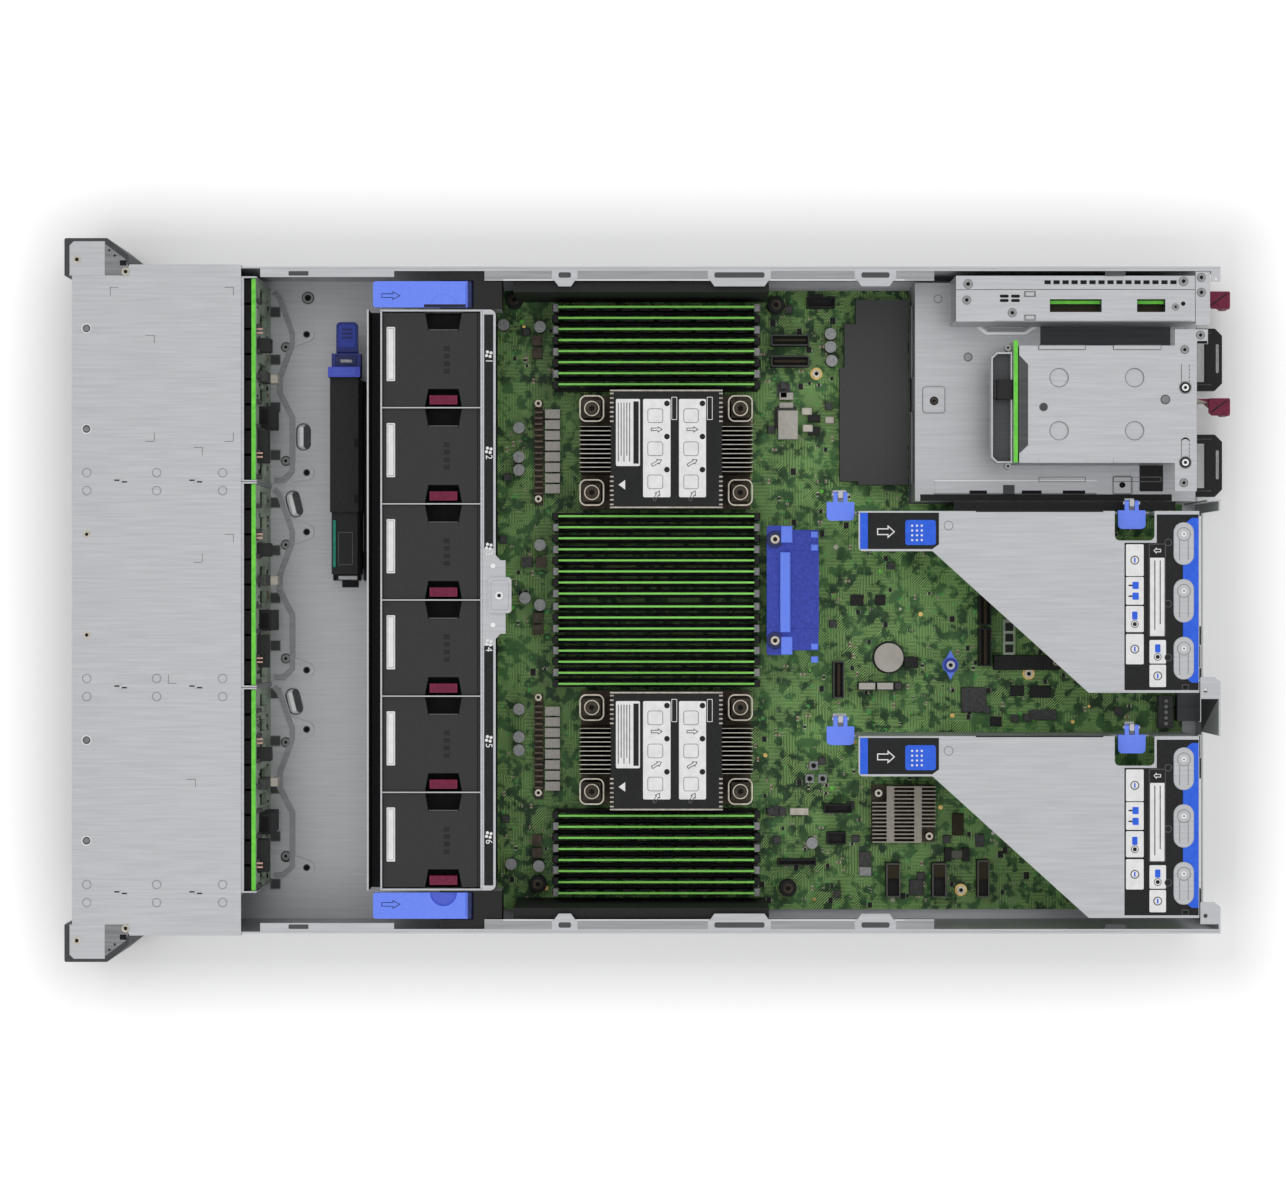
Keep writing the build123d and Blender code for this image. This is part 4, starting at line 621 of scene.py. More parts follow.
# Fans: a blank label, dark pads, ribs on the release latch, and shallow lines on the lid
for n, x in enumerate(FAN_X):
    lid = Form(x, 0, FAN_TOP)
    lid.pad((-21.9, 14.2), (-179.5, -173.9), 0.5, 0.1, WHITE)
    frame_line(lid, (-21, 13.3), (-178.8, -174.6), (0.1, 0.14), 0.25, INK_AND_SHADE)
    # The two shallow lines across each lid are black strips painted as their shade
    for y in (-182.3, -119):
        lid.box((-31.2, 31.2), (y, y + 0.6), 0.06, BLACK_AND_RECESS_SHADE)
    lid.box((-20.2, -19.7), (-151.2, -132), 0.08, CHANNEL_GREY)
    for k in range(4):
        lid.pad((-9 + 5 * k, -5.8 + 5 * k), (-141.4, -137.4), 0.6, 0.07, BLACK)
    for line in range(3):
        lid.box((24.6 + line * 1.6, 25.3 + line * 1.6), (-149.6, -133.6), 0.35, MAROON, 0.15)
    lid.finish(f"fan_lid_{n + 1}", f"fan_housing_{n + 1}", "dark_plastic")

# Fan cage: number strip along the rear flange, bright folded edges, centre latch and rivets
strip = Form(z=CAGE_TOP)
for x in ((-190.6, -34.6), (30.6, 190.6)):
    strip.box(x, (-114.3, -108.2), 0.08, LABEL_BLACK)
for x in FAN_X:
    for dx, dy in ((-1.5, -0.9), (-0.9, 1.5), (0.9, -1.5), (1.5, 0.9)):
        strip.disc(x - 3.6 + dx, -111.2 + dy, 1.05, (0.05, 0.12), WHITE, 14)
for x, y in ((-22.7, -108.4), (16.7, -108.4)):
    strip.disc(x, y, 1.8, 0.5, STEEL_BRIGHT, 18, 0.3)
for y0 in (-183.6, -192.6, -116.8):
    strip.box((-192.6, 192.6), (y0, y0 + 1.1), 0.2, STEEL, 0.1)
strip.pad((-13.4, 7), (-110, -97.6), 2.4, (1.2, 2), STEEL, 0.6)
screw(strip, -3, -104.2, 2, 2.6, STEEL_BRIGHT, 0.9)
strip.finish("cage_strip", "fan_cage", "fan_cage_sheet")
for n, x in enumerate(FAN_X):
    figure(str(n + 1), f"fan_number_{n + 1}", x + 0.9, -111.2, CAGE_TOP + 0.1, 6.4, WHITE, "fan_cage")

# Lift handles of the fan cage: an outlined arrow, a line across, and a half-round fill in the left one
for side, name in ((-1, "left"), (1, "right")):
    mark = Form(z=HANDLE_TOP)
    arrow(mark, side * 203.1, -176.4, 12.8, 6, 0.5, 0.06, NAVY)
    mark.box((side * 195.8, side * 211.4), (-126.6, -126), 0.06, BLUE_LINE)
    if side < 0:
        half = [(-195.35 - 8.9 * sin(radians(t)), -141.4 + 8.9 * cos(radians(t))) for t in range(0, 181, 12)]
        mark.prism(half, (-1.7, -0.01), BLUE)
        mark.box((-197.3, -195.4), (-154.4, -126.2), 0.05, BLACK)
    mark.finish(f"handle_mark_{name}", f"fan_cage_handle_{name}", "blue_plastic")

# Energy pack: side marks, a board edge and a panel at one end, ledges by the latch
pack = Form()
for x in (-110, -72):
    pack.pad((x, x + 6), (-204.6, -202.2), 1, (46, 46.3), BLACK_AND_RECESS_SHADE)
pack.box((-54.4, -22.4), (-219.4, -217.4), (43, 44.4), TEAL)
pack.pad((-46.5, -23.6), (-216.2, -205.6), 1.2, (43, 43.5), SHELF_GREY, 0.2)
pack.pad((-45.7, -24.4), (-215.4, -206.4), 0.8, (43.5, 43.55), BLACK)
pack.box((-16.8, -13.9), (-217.6, -204.4), (24, 25.4), STEEL, 0.3)
pack.pad((-166.4, -159.6), (-217.6, -203), 1, (46, 46.6), NAVY, 0.2)
pack.box((-163.6, -161.4), (-214, -206), (46.6, 47), CAN_GREY, 0.2)
pack.box((-157.4, -152.3), (-219, -203.2), (50, 50.3), BLUE_LINE, 0.1)
pack.finish("energy_pack_parts", "energy_pack", "dark_plastic")
tongue = Form()
tongue.pad((-188, -172), (-216, -204), 2.4, (41.5, 41.9), BLUE_LOW, 0.2)
for x in (-185, -182.2, -179.4):
    tongue.box((x, x + 1.2), (-213.6, -206.4), (41.9, 42.2), NAVY)
tongue.finish("energy_latch_pad", "energy_pack_latch", "blue_plastic")

# Heat sinks: instruction label without words, screw heads and the spring loops beside them
for n, centre in enumerate((-SINK_X, SINK_X)):
    sink = Form(centre, 0, SINK_TOP)
    x0 = -33.5
    for y0, y1, x1 in ((-26.4, -10.3, 11.5), (-8.2, 10.2, 32.4), (15.9, 34, 32.4)):
        sink.pad((x0, x1), (y0, y1), 1, 0.06, WHITE)
        if y0 > -20:
            sink.pad((x0 - 1.4, x0 + 14), (y1 + 0.6, y1 + 4.4), 0.6, 0.05, WHITE)
            sink.pad((x0 - 1, x0 + 13.6), (y1 + 1, y1 + 4), 0.4, (0.05, 0.08), LABEL_BLACK)
            for k in range(3):
                x = x0 + 3 + 22.2 * k
                sink.disc(x, y1 - 2.4, 1.9, (0.06, 0.1), LABEL_BLACK, 18)
                frame_line(sink, (x + 3.4, x + 13), (y0 + 3, y1 - 5), (0.06, 0.1), 0.35, INK_AND_SHADE, 1.8)
                arrow(sink, x + 17.4, (y0 + y1) / 2, 8, 4.4, 0.5, (0.06, 0.1), INK_AND_SHADE, 30 * k)
        else:
            sink.box((x0 + 1.6, x1 - 1.6), (y1 - 4.4, y1 - 0.8), (0.06, 0.09), LABEL_BLACK)
            for k in range(5):
                sink.box((x0 + 2.4, x1 - 3 - 4 * (k % 2)), (y1 - 7.2 - 1.9 * k, y1 - 6.6 - 1.9 * k),
                         (0.06, 0.09), INK_AND_SHADE)
    sink.at(centre)
    for u in (-1, 1):
        for v in (-1, 1):
            x, y = u * SINK_SCREW[0], SINK_Y + v * SINK_SCREW[1]
            screw(sink, x, y, 54, 3.7, BRONZE, 1.4)
            sink.ring(x, y, (4.5, 5.2), (53.9, 54.6), NICKEL, 24)
            loop = rounded(span(x, 9), span(y, 8.4), 4.6, 8)
            sink.collar(loop, inset(counter_clockwise(loop), 0.9), (53.6, 54.6), NICKEL)
    sink.at(centre, 0, SINK_TOP)
    for v in (-1, 1):
        for k in range(-12, 13):
            x = k * 3.1
            if abs(x) > 17:
                sink.box(span(x, 0.5), (SINK_Y + v * 35.4, SINK_Y + v * 37.8), 0.1, FIN_EDGE)
        sink.box(span(v * 39.2, 0.5), span(SINK_Y, 37.8), 0.12, FIN_EDGE)
    sink.prism([(24, -24.6), (27.2, -20.2), (20.8, -20.2)], 0.06, WHITE)
    sink.finish(f"sink_label_{n + 1}", slot="fin_aluminium")

# Board handle: its two arms, a brighter upper bar, screws, and two pads at each end
bar = Form()
for x0, x1 in ((-47.7, -33.4), (19.2, 34.3)):
    bar.box((x0, x1), (88.6, 111.2), (42, 45.4), BLUE_LOW, 0.4)
bar.box((-50.4, -39), (85.6, 93.4), (45, 47), BLUE, 0.5)
bar.box((25, 37.2), (85.6, 93.4), (45, 47), BLUE, 0.5)
bar.box((-32.6, 22), (85, 92), (45, 47.4), BLUE, 0.6)
for x0 in (-47.6, 28.6):
    for x in (x0 + 1, x0 + 9.8):
        bar.box((x, x + 4.2), (106.1, 110.9), (44.8, 46.4), BLUE, 0.5)
for x in (-41.3, 27.6):
    bar.disc(x, 81.6, 5.8, (45, 46.2), NAVY, 24, 0.4)
    screw(bar, x, 81.6, 46.2, 3, NICKEL, 0.8)
bar.finish("board_handle_bar", slot="blue_plastic")

# Small parts of the board, scattered where nothing larger stands
blocked = [(-64, 66, -72, 74), (-210, -142, -72, 74), (142, 210, -72, 74),
           (-142, -60, -88, 66), (60, 142, -88, 66), (125, 170, 146, 196),
           (27, 52, 149, 174), (-210, -78, 124, 180), (-60, -20, 190, 302),
           (90, 130, 190, 302), (-66, 120, 340, 366)]
draw = Random(11)
small = Form(z=BOARD_TOP)
for _ in range(1500):
    x, y = draw.uniform(-211, 211), draw.uniform(-106, 362)
    if any(a < x < b and c < y < d for a, b, c, d in blocked) or (x < -64 and y > 174):
        continue
    kind = draw.random()
    if kind < 0.72:
        length, width = draw.choice(((1, 0.5), (1.6, 0.8), (2, 1.2), (3.2, 1.6)))
        dx, dy = (length, width) if draw.random() < 0.5 else (width, length)
        small.box(span(x, dx / 2), span(y, dy / 2), 0.5, NYLON)
        cap = (dx * 0.28, dy / 2 + 0.02) if dx > dy else (dx / 2 + 0.02, dy * 0.28)
        small.box(span(x, cap[0]), span(y, cap[1]), 0.56, draw.choice((TAN, BLACK, TAN)))
    elif kind < 0.88:
        size = draw.uniform(2, 4.5)
        small.box(span(x, size / 2), span(y, size * 0.4), 1, BLACK, 0.2)
        for k in range(4):
            small.box((x - size / 2 + size * (k + 0.3) / 4, x - size / 2 + size * (k + 0.6) / 4),
                      (y - size * 0.4 - 0.7, y + size * 0.4 + 0.7), 0.25, NYLON)
    elif kind < 0.96:
        size = draw.uniform(1.6, 3.4)
        small.disc(x, y, size / 2, 0.08, draw.choice((PIN_GOLD, NYLON, EDGE_GREEN)), 12)
    else:
        small.box(span(x, 2.6), span(y, 2.6), 3.2, PART_GREY, 0.4)
small.finish("board_small_parts")

# Named small parts of the board: chips, switches, crystals, ringed screws and bosses
named = Form(z=BOARD_TOP)
for x, y, size, height in ((69, 220.6, 17.3, 2.6), (-126.2, 90.4, 13, 6), (-148.3, 89, 5, 4),
                           (-142.1, 89, 5, 4), (146.2, 80, 5, 4), (146.2, 88.3, 5, 4)):
    named.box(span(x, size / 2), span(y, size / 2), height, PART_GREY, 0.4)
for x, y in ((114.5, 109.7), (123.5, 107), (123.5, 115.9)):
    named.box(span(x, 3.1), span(y, 3.1), 3.4, CAN_GREY, 0.3)
    named.disc(x, y, 1.7, (3.4, 4.3), BLACK_AND_RECESS_SHADE, 16)
for x, y in ((-130.4, 104.9), (-118.7, 105.6), (146.2, 96.6), (146.2, 102.8)):
    named.box(span(x, 2.4), span(y, 3.4), 5, NYLON, 0.4)
for x, y in ((51, 258.7), (200.7, 211.8), (-156.6, 111.8)):
    named.ring(x, y, (2.4, 4.2), 0.2, PIN_GOLD, 24)
    screw(named, x, y, 0.1, 2.9, NICKEL, 1.8)
for x, y in ((-203.5, 83.5), (198.7, 91.8), (195.9, -80.7), (-206.9, -97.2)):
    named.disc(x, y, 6, 9, BLACK, 24, 0.6)
    screw(named, x, y, 9, 3.4, BRONZE, 1.2)
named.at()
for x, y, half in ((54.9, 126.5, 11), (7.2, 227.5, 9), (32.4, 227.5, 12)):
    named.box(span(x, half), span(y, 1), (17, 20.4), SLOT_BROWN)
for n in range(17):
    x = 101.3 + (n - 8) * 4
    for side in (-1, 1):
        named.box((side * x - 0.5, side * x + 0.5), (-83, -77.4), (18, 18.15), STRIP_BROWN)
for x in (-135.5, -69.7, 67.1, 132.9):
    screw(named, x, -80.4, 18, 2.4, NICKEL, 0.6)
for x, y in ((133, 154), (162.7, 188.9)):
    screw(named, x, y, 20.2, 2.5, NICKEL, 0.6)
for x, y, wide, deep, split in ((193, 164.1, 23.4, 9.7, 0.45), (193, 195.8, 23.4, 9.7, 0.4),
                                (192, 226.2, 25.4, 8.3, 0.5), (-178.9, 93.1, 7.6, 26.2, 0),
                                (-164.4, 93.1, 7.6, 26.2, 0), (54.9, 126.5, 25.4, 7.5, 0)):
    frame_line(named, span(x, wide / 2), span(y, deep / 2), (SOCKET_TOP, SOCKET_TOP + 0.2), 0.9,
               FRAME_GREY if split else PART_GREY)
    if split:
        left = x - wide / 2 + 1
        inside = (left, left + (wide - 2) * split)
        named.box(inside, span(y, deep / 2 - 1), (17, SOCKET_TOP - 0.6), SLOT_BROWN)
    elif wide > deep:
        named.box(span(x, wide / 2 - 2), span(y, 0.8), (16, SOCKET_TOP - 0.4), SLOT_BROWN)
    else:
        named.box(span(x, 0.8), span(y, deep / 2 - 2), (16, SOCKET_TOP - 0.4), SLOT_BROWN)
named.at(z=BOARD_TOP)
for x0, x1, y0, y1, high, kind in (
        (174, 184, 141, 149.6, 3, PART_GREY), (184.6, 191, 141.4, 149.8, 1.6, CAN_GREY),
        (193.4, 204.4, 176, 185.7, 1.8, PART_GREY), (162, 171, 221.6, 227.8, 2, PART_GREY),
        (173, 178.6, 200.2, 217, 4.2, FRAME_GREY), (171.2, 180.6, 200.2, 204.8, 5, BLACK),
        (171.2, 180.6, 212.4, 217, 5, BLACK), (147.8, 163, 205.7, 213.6, 1.8, SLOT_BROWN),
        (13.1, 38, 240.5, 248.8, 5, BOARD_PALE), (38.2, 48.3, 234, 280.2, 6, BLACK),
        (-3.5, 4.1, 135.3, 144.3, 1.4, BLACK), (-3.5, 3.5, 152.5, 159.5, 1.4, BLACK),
        (59.4, 67.6, 259.5, 274, 1.6, BLACK), (59.4, 66.3, 245.7, 255.4, 1.4, BLACK),
        (75.9, 82.8, 258.8, 277.5, 3, PART_GREY), (39.3, 46.9, 172.2, 182, 5, BLACK),
        (80.6, 87.4, 232, 240, 1.4, BLACK), (66, 88.6, 347.2, 357.4, 9, PART_GREY)):
    named.box((x0, x1), (y0, y1), high, kind, 0.3)
for k in range(5):
    named.disc(69.6 + 3.9 * k, 352.3, 1.3, (9, 9.8), CAN_GREY, 14, 0.3)
for k in range(3):
    named.box((16 + 7.4 * k, 21.4 + 7.4 * k), (242, 247.4), (5, 6), BLACK, 0.2)
screw(named, 43.2, 277, 6, 2.2, NICKEL, 0.8)
named.at(z=SOCKET_TOP)
for y0, y1, kind in ((140.4, 151.6, CAN_LIGHT), (153, 164, CAN_LIGHT), (165.2, 169.6, PART_GREY)):
    named.box((57, 61.6), (y0, y1), 0.8, kind, 0.2)
named.at(z=BOARD_TOP)
for x0, x1, y0, y1, high, kind in (
        (-143.4, -138.4, 86, 95.6, 4, CAN_LIGHT), (-136.6, -131.6, 86, 95.6, 4, CAN_LIGHT),
        (-130.8, -111, 85, 98.6, 7.6, CAN_LIGHT), (-128, -123, 106, 114.4, 4, BLACK),
        (-119.6, -113.8, 106, 114.4, 4, BLACK), (-126.6, -122.2, 118, 123.8, 2.4, NYLON)):
    named.box((x0, x1), (y0, y1), high, kind, 0.3)
named.finish("board_parts")
knob = Form()
knob.ring(44.8, 203.3, (3.3, 5), (23.5, 24.1), BLUE_LOW, 28)
screw(knob, 44.8, 203.3, 23.5, 2.9, STEEL, 0.9)
knob.finish("plunger_top", "board_plunger", "blue_plastic")

# Power supply bay: pad screw, rivets, a curved bead, a shelf and vent slots
bay = Form(z=BAY_TOP)
bay.disc(-135.6, 190, 3, (0.7, 0.8), BLACK_AND_RECESS_SHADE, 20)
screw(bay, -135.6, 190, 0.7, 2.2, BRONZE, 0.6)
bay.disc(-165.5, 213.2, 2.6, 0.5, STEEL_MID, 20, 0.4)
bay.ring(-165.5, 213.2, (2.6, 3.2), 0.1, STEEL_DARK)
bay.ring(-205.1, 192.7, (2.4, 3), 0.1, STEEL_DARK)
bead = [(-192.7, 218), (-185.6, 219), (-180.4, 225.4), (-180.4, 252.8), (-185.6, 260.6), (-187.6, 259),
        (-182.8, 251.8), (-182.8, 226.6), (-186.8, 221.2), (-192.7, 220.6)]
# The curved bead is a bright steel, painted highlight, and a darker copy shifted beside it is its painted
# shadow
bay.prism(bead, 0.8, STEEL_BRIGHT, 0.3)
bay.prism([(x - 2.6, y + (2 if y < 240 else -2)) for x, y in bead], 0.3, STEEL_MID)
bay.box((-189.4, -173.4), (262.4, 351), 0.35, SHELF_GREY, 0.1)
bay.box((-189, -173.8), (315.2, 315.9), (0.35, 0.5), INK_AND_SHADE)
frame_line(bay, (-145.5, -127.2), (182.1, 197.5), (0, 0.75), 0.5, STEEL_DARK, 2.4)
frame_line(bay, (-84.6, -72.1), (311.9, 325), (-0.6, 0.05), 0.6, STEEL_DARK, 1.6)
bay.box((-81.6, -81), (190, 300.8), 0.75, STEEL_BRIGHT)
bay.box((-73, -72), (190, 300.8), 0.6, STEEL_DARK)
# Vent slots are black strips painted as the shade of the openings
for y0, y1 in ((214.1, 226), (249.7, 263.2), (277.6, 292.9)):
    bay.box((-74.6, -72.2), (y0, y1), (0.7, 0.78), BLACK_AND_RECESS_SHADE)
bay.box((-78.3, -72), (237, 244.7), (0.7, 1.4), SHELF_GREY, 0.2)
bay.box((-72, -67.4), (180.6, 352), 0.06, BLACK)
bay.pad((-92.7, -74), (330, 346), 1, 0.6, BLACK, 0.2)
bay.disc(-78.4, 318.4, 2, (-0.7, -0.1), BLACK_AND_RECESS_SHADE, 18)
bay.finish("psu_bay_parts", slot=SHEET)

# Rear drive cage: screws, keyholes with their fasteners, press lines, and the backplane in front of it
cage = Form(z=REAR_TOP)
# Painted shade: dark rings round the screws and dimples, dark press lines, and black patches for slots and
# holes
for x, y in ((-167.1, 353.3), (-176.8, 363.8), (-78.2, 352.7)):
    cage.ring(x, y, (2.5, 2.9), 0.1, INK_AND_SHADE, 24)
    screw(cage, x, y, 0, 2.4, CAN_GREY, 0.5)
for x in (-141.8, -91.8):
    cage.prism(rounded((x - 15.6, x + 1.6), (351, 356.6), 2.7, 8), (-0.9, -0.1), STEEL)
    cage.disc(x, 353.7, 4.3, 0.12, STEEL_DARK, 28)
    cage.disc(x, 353.7, 3.6, (0.12, 0.2), BLACK, 28)
    screw(cage, x, 353.7, 0.2, 2.3, STEEL_BRIGHT, 0.6)
    cage.box((x - 15.6, x - 3.4), (350.9, 351.3), 0.06, INK_AND_SHADE)
    for k in range(5):
        cage.box((x - 15.2 + 2.5 * k, x - 13.6 + 2.5 * k), (356.2, 356.6), 0.06, INK_AND_SHADE)
for x in (-148.4, -113):
    for y in (269.5, 319.9):
        cage.ring(x, y, (6, 6.5), (-0.3, 0.06), STEEL_DARK, 36)
for x, y, size in ((-133.8, 340.4, 3.3), (-128.8, 259.1, 2.9)):
    cage.ring(x, y, (size - 0.7, size), 0.06, INK_AND_SHADE, 28)
    cage.disc(x, y, size - 0.7, 0.05, SHELF_GREY if size < 3 else STEEL_DARK, 24)
for x0, x1 in ((-170.4, -167), (-82.2, -78.8)):
    for y0, y1 in ((255.7, 287.1), (305.5, 337.6)):
        frame_line(cage, (x0, x1), (y0, y1), (0, 0.72), 0.4, INK_AND_SHADE, 0.4)
cage.prism([(-164, 242.5), (-157.2, 248.8), (-103.3, 248.8), (-97.4, 242.5)], 0.05, SHELF_GREY)
cage.box((-172.9, -171.1), (361.6, 368.4), 0.08, BLACK_AND_RECESS_SHADE)
cage.at()
rim = [(-165.6, 228.4), (-162, 224.6), (-95.2, 224.6), (-91.7, 228.4), (-91.7, 238.6), (-165.6, 238.6)]
cage.collar(rim, inset(counter_clockwise(rim), 1), (70, 82), STEEL)
cage.prism(inset(counter_clockwise(rim), 0.9), (66, 76), SHELF_GREY)
cage.box((-147.2, -134), (228.4, 238.8), (76, 83.4), BLACK, 0.5)
cage.box((-146, -135.2), (226.6, 228.4), (76, 80), PART_GREY, 0.3)
for x in (-168.6, -89.4):
    cage.disc(x, 235.6, 2.2, (76, 83.6), CAN_GREY, 18, 0.3)
    cage.disc(x, 235.6, 0.9, (83.6, 83.7), BLACK_AND_RECESS_SHADE, 12)
cage.finish("rear_cage_parts", slot=SHEET)

# Boot device cage: screws, vents, tab windows, press lines and the board's edge beside it
boot = Form(z=REAR_TOP)
# Painted shade: dark rings round the screws, black tab windows and vents, dark frames round the pressed tabs
# and dark press lines
for x, y, size in ((-210.9, 208.7, 2.4), (-212.8, 352.5, 2.4), (-200.2, 207.8, 2.2), (-191.7, 238.2, 2.2),
                   (-195.6, 347.2, 1.5), (-215.3, 364.4, 2.2), (-205.3, 364.4, 2.2)):
    boot.ring(x, y, (size + 0.4, size + 0.9), 0.06, STEEL_DARK, 24)
    screw(boot, x, y, 0, size + 0.3, CAN_GREY, 0.5)
boot.disc(-197.8, 352.3, 1.5, 0.05, BLACK_AND_RECESS_SHADE, 18)
for x0 in (-203.8, -200.9):
    for y0 in (229.9, 237.4):
        boot.pad((x0, x0 + 2), (y0, y0 + 5.9), 0.9, 0.05, BLACK_AND_RECESS_SHADE)
for x0 in (-206.2, -190.5):
    boot.box((x0, x0 + 4), (246, 254), 0.05, STEEL_DARK)
    boot.box((x0 + 0.8, x0 + 3.2), (247.2, 252.8), (0.05, 0.4), STEEL, 0.2)
for k in range(15):
    y = 303.8 + 6 * (k - 7)
    boot.box((-213.4, -210.8), span(y, 2.1), 0.05, BLACK_AND_RECESS_SHADE)
boot.box((-207.4, -207), (200.6, 360), 0.06, INK_AND_SHADE)
boot.box((-218.8, -184), (360.2, 360.6), 0.06, INK_AND_SHADE)
boot.box((-186.4, -186), (226, 358), 0.06, STEEL_DARK)
boot.at()
for y0, y1 in ((263.6, 297.6), (321.8, 340.1)):
    boot.box((-200.2, -198), (y0, y1), (79, 81), EDGE_GREEN)
    boot.box((-198, -192.6), (y0, y1), (74, 76), SLOT_BROWN)
boot.finish("boot_cage_parts", slot=SHEET)

# Riser cages: black and blue labels with blank panels, rings and keyhole pads
PANEL_LIFT = 0.03


def pictogram(form, x, y, z, kind):
    """Plain marks in a blank panel: a ring with a bar, two squares, or a half circle with a dot."""
    if kind == 0:
        form.ring(x, y, (2.3, 3), z, INK_AND_SHADE, 20)
        form.box(span(x, 1.6), span(y, 0.5), z, LABEL_BLUE)
    elif kind == 1:
        for dx in (-3.6, 3.6):
            form.pad((x + dx - 2.4, x + dx + 2.4), (y - 1.6, y + 2.6), 0.5, z, LABEL_BLUE)
            form.box((x + dx - 0.5, x + dx + 0.5), (y - 4.2, y - 1.6), z, LABEL_BLACK)
    else:
        form.pad((x - 5, x + 0.5), span(y, 1.8), 0.7, z, LABEL_BLUE)
        form.disc(x + 3.4, y, 1.4, z, LABEL_BLACK, 16)
        form.ring(x + 3.4, y, (2.1, 2.6), z, INK_AND_SHADE, 18)


for n in range(2):
    low, mid, high = [(0, PANEL_LIFT * (k + 1)) for k in range(3)]
    label = Form(n * RISER_PITCH, 0, RISER_TOP)
    label.prism([(-58.3, 138), (-56.9, 136.6), (-34, 136.6), (-34, 183.6), (-33.8, 184.6), (-37.2, 189.3),
                 (-58.3, 189.3)], low, LABEL_BLACK)
    label.box((-58.3, -34), (136.6, 141.8), mid, LABEL_BLUE)
    label.pad((-53.4, -36.7), (166.8, 187.2), 1.8, mid, LABEL_BLUE)
    for k in range(12):
        label.disc(-49.6 + 3.2 * (k // 3), 171.4 + 3.2 * (k % 3), 0.75, high, WHITE, 12)
    arrow(label, -45.6, 154, 12, 9, 0.7, mid, WHITE)
    label.prism([(-57.1, 334.6), (-57.1, 362.6), (60.2, 362.6), (60.2, 313.1), (-38.2, 313.1),
                 (-38.2, 334.6)], low, LABEL_BLACK)
    label.prism([(-54.8, 362.6), (-54.8, 358), (-50, 352.2), (50.4, 352.2), (55.2, 358), (55.2, 362.6)],
                mid, LABEL_BLUE)
    for k, (x0, x1) in enumerate(((-37.2, -16), (-15.4, 3.1), (4, 21.4), (22.7, 42.9))):
        label.pad((x0, x1), (314.1, 325.9), 0.8, mid, WHITE)
        pictogram(label, (x0 + x1) / 2, 320, high, k % 3)
    frame_line(label, (-37.6, 24.6), (329.4, 340.6), mid, 0.5, INK_AND_SHADE, 1)
    label.pad((-28.2, 24), (330.2, 339.8), 0.4, mid, WHITE)
    for k in range(2):
        label.box((-26.4, 20 - 4 * k), (333 + 3.6 * k, 333.7 + 3.6 * k), high, INK_AND_SHADE)
    arrow(label, -33, 335, 5, 4.4, 0.5, mid, WHITE, 180)
    for k, (x0, x1) in enumerate(((26.7, 42.4), (43.2, 58.1))):
        label.pad((x0, x1), (329.8, 340.8), 0.8, mid, WHITE)
        pictogram(label, (x0 + x1) / 2, 335.3, high, 2 - 2 * k)
    for x in (-38.4, 2.5, 38.4):
        label.ring(x, 342.3, (2, 2.5), high, INK_AND_SHADE, 24)
        label.disc(x, 342.3, 2, high, LABEL_BLACK, 24)
    label.box((56.4, 60.2), (351.4, 356), mid, INK_AND_SHADE)
    label.box((56.9, 59.7), (351.9, 355.5), high, BLACK_AND_RECESS_SHADE)
    top = 0.5
    for x0, x1 in ((-51.9, -23.4), (-14, 15), (24.5, 53.1)):
        label.prism(rounded((x0, x1), (345.9, 359.5), 6.6, 8), top, STEEL, 0.4)
        keyhole = x0 + 7.9
        label.ring(keyhole, 352.7, (4.1, 4.6), (top, top + 0.05), STEEL_DARK, 28)
        label.disc(keyhole, 352.7, 1.9, (top, top + 0.4), STEEL_BRIGHT, 20, 0.3)
        label.disc(keyhole, 352.7, 0.7, (top + 0.4, top + 0.45), STEEL_DARK, 12)
        for y in (349.6, 355.3):
            label.box((keyhole + 3.6, x1 - 3.4), (y, y + 0.5), (top, top + 0.05), STEEL_DARK)
    label.box((-59.8, -58.7), (214, 299), low, BLACK)
    label.ring(-49.7, 195.7, (2.7, 3.2), low, STEEL_DARK, 24)
    label.finish(f"riser_label_{n + 1}", f"riser_cage_{n + 1}", SHEET)

# Rails along the top of the side walls: a darker shelf inside a bright edge, which is a painted highlight,
# and tabs over the baffles
rails = Form(z=RAIL_TOP)
for side in (-1, 1):
    for y0, y1 in ((-114, -69), (-52, 35), (77, 133), (160.6, 186)):
        rails.box((side * 214, side * 219.6), (y0, y1), 0.06, STEEL_MID)
        # The bright edge is a painted highlight
        rails.box((side * 213.2, side * 213.7), (y0, y1), 0.12, STEEL_BRIGHT)
    for y0, y1 in ((-67.6, -53.3), (36.4, 75.8), (134.5, 159.2)):
        tab = [(side * 213.4, y0), (side * 209.2, y0 + 3), (side * 209.2, y1 - 3), (side * 213.4, y1)]
        rails.prism(tab, (-1, 0.1), STEEL, 0.2)
        rails.pad((side * 215, side * 218.6), (y0 + 3, y1 - 3), 1.2, 0.1, SHELF_GREY)
    for y0, y1 in ((-244.7, -231.4), (300, 313.6)):
        rails.pad((side * 216.4, side * 219.4), (y0, y1), 0.6, 0.1, SHELF_GREY)
rails.finish("rail_trim", slot=SHEET)

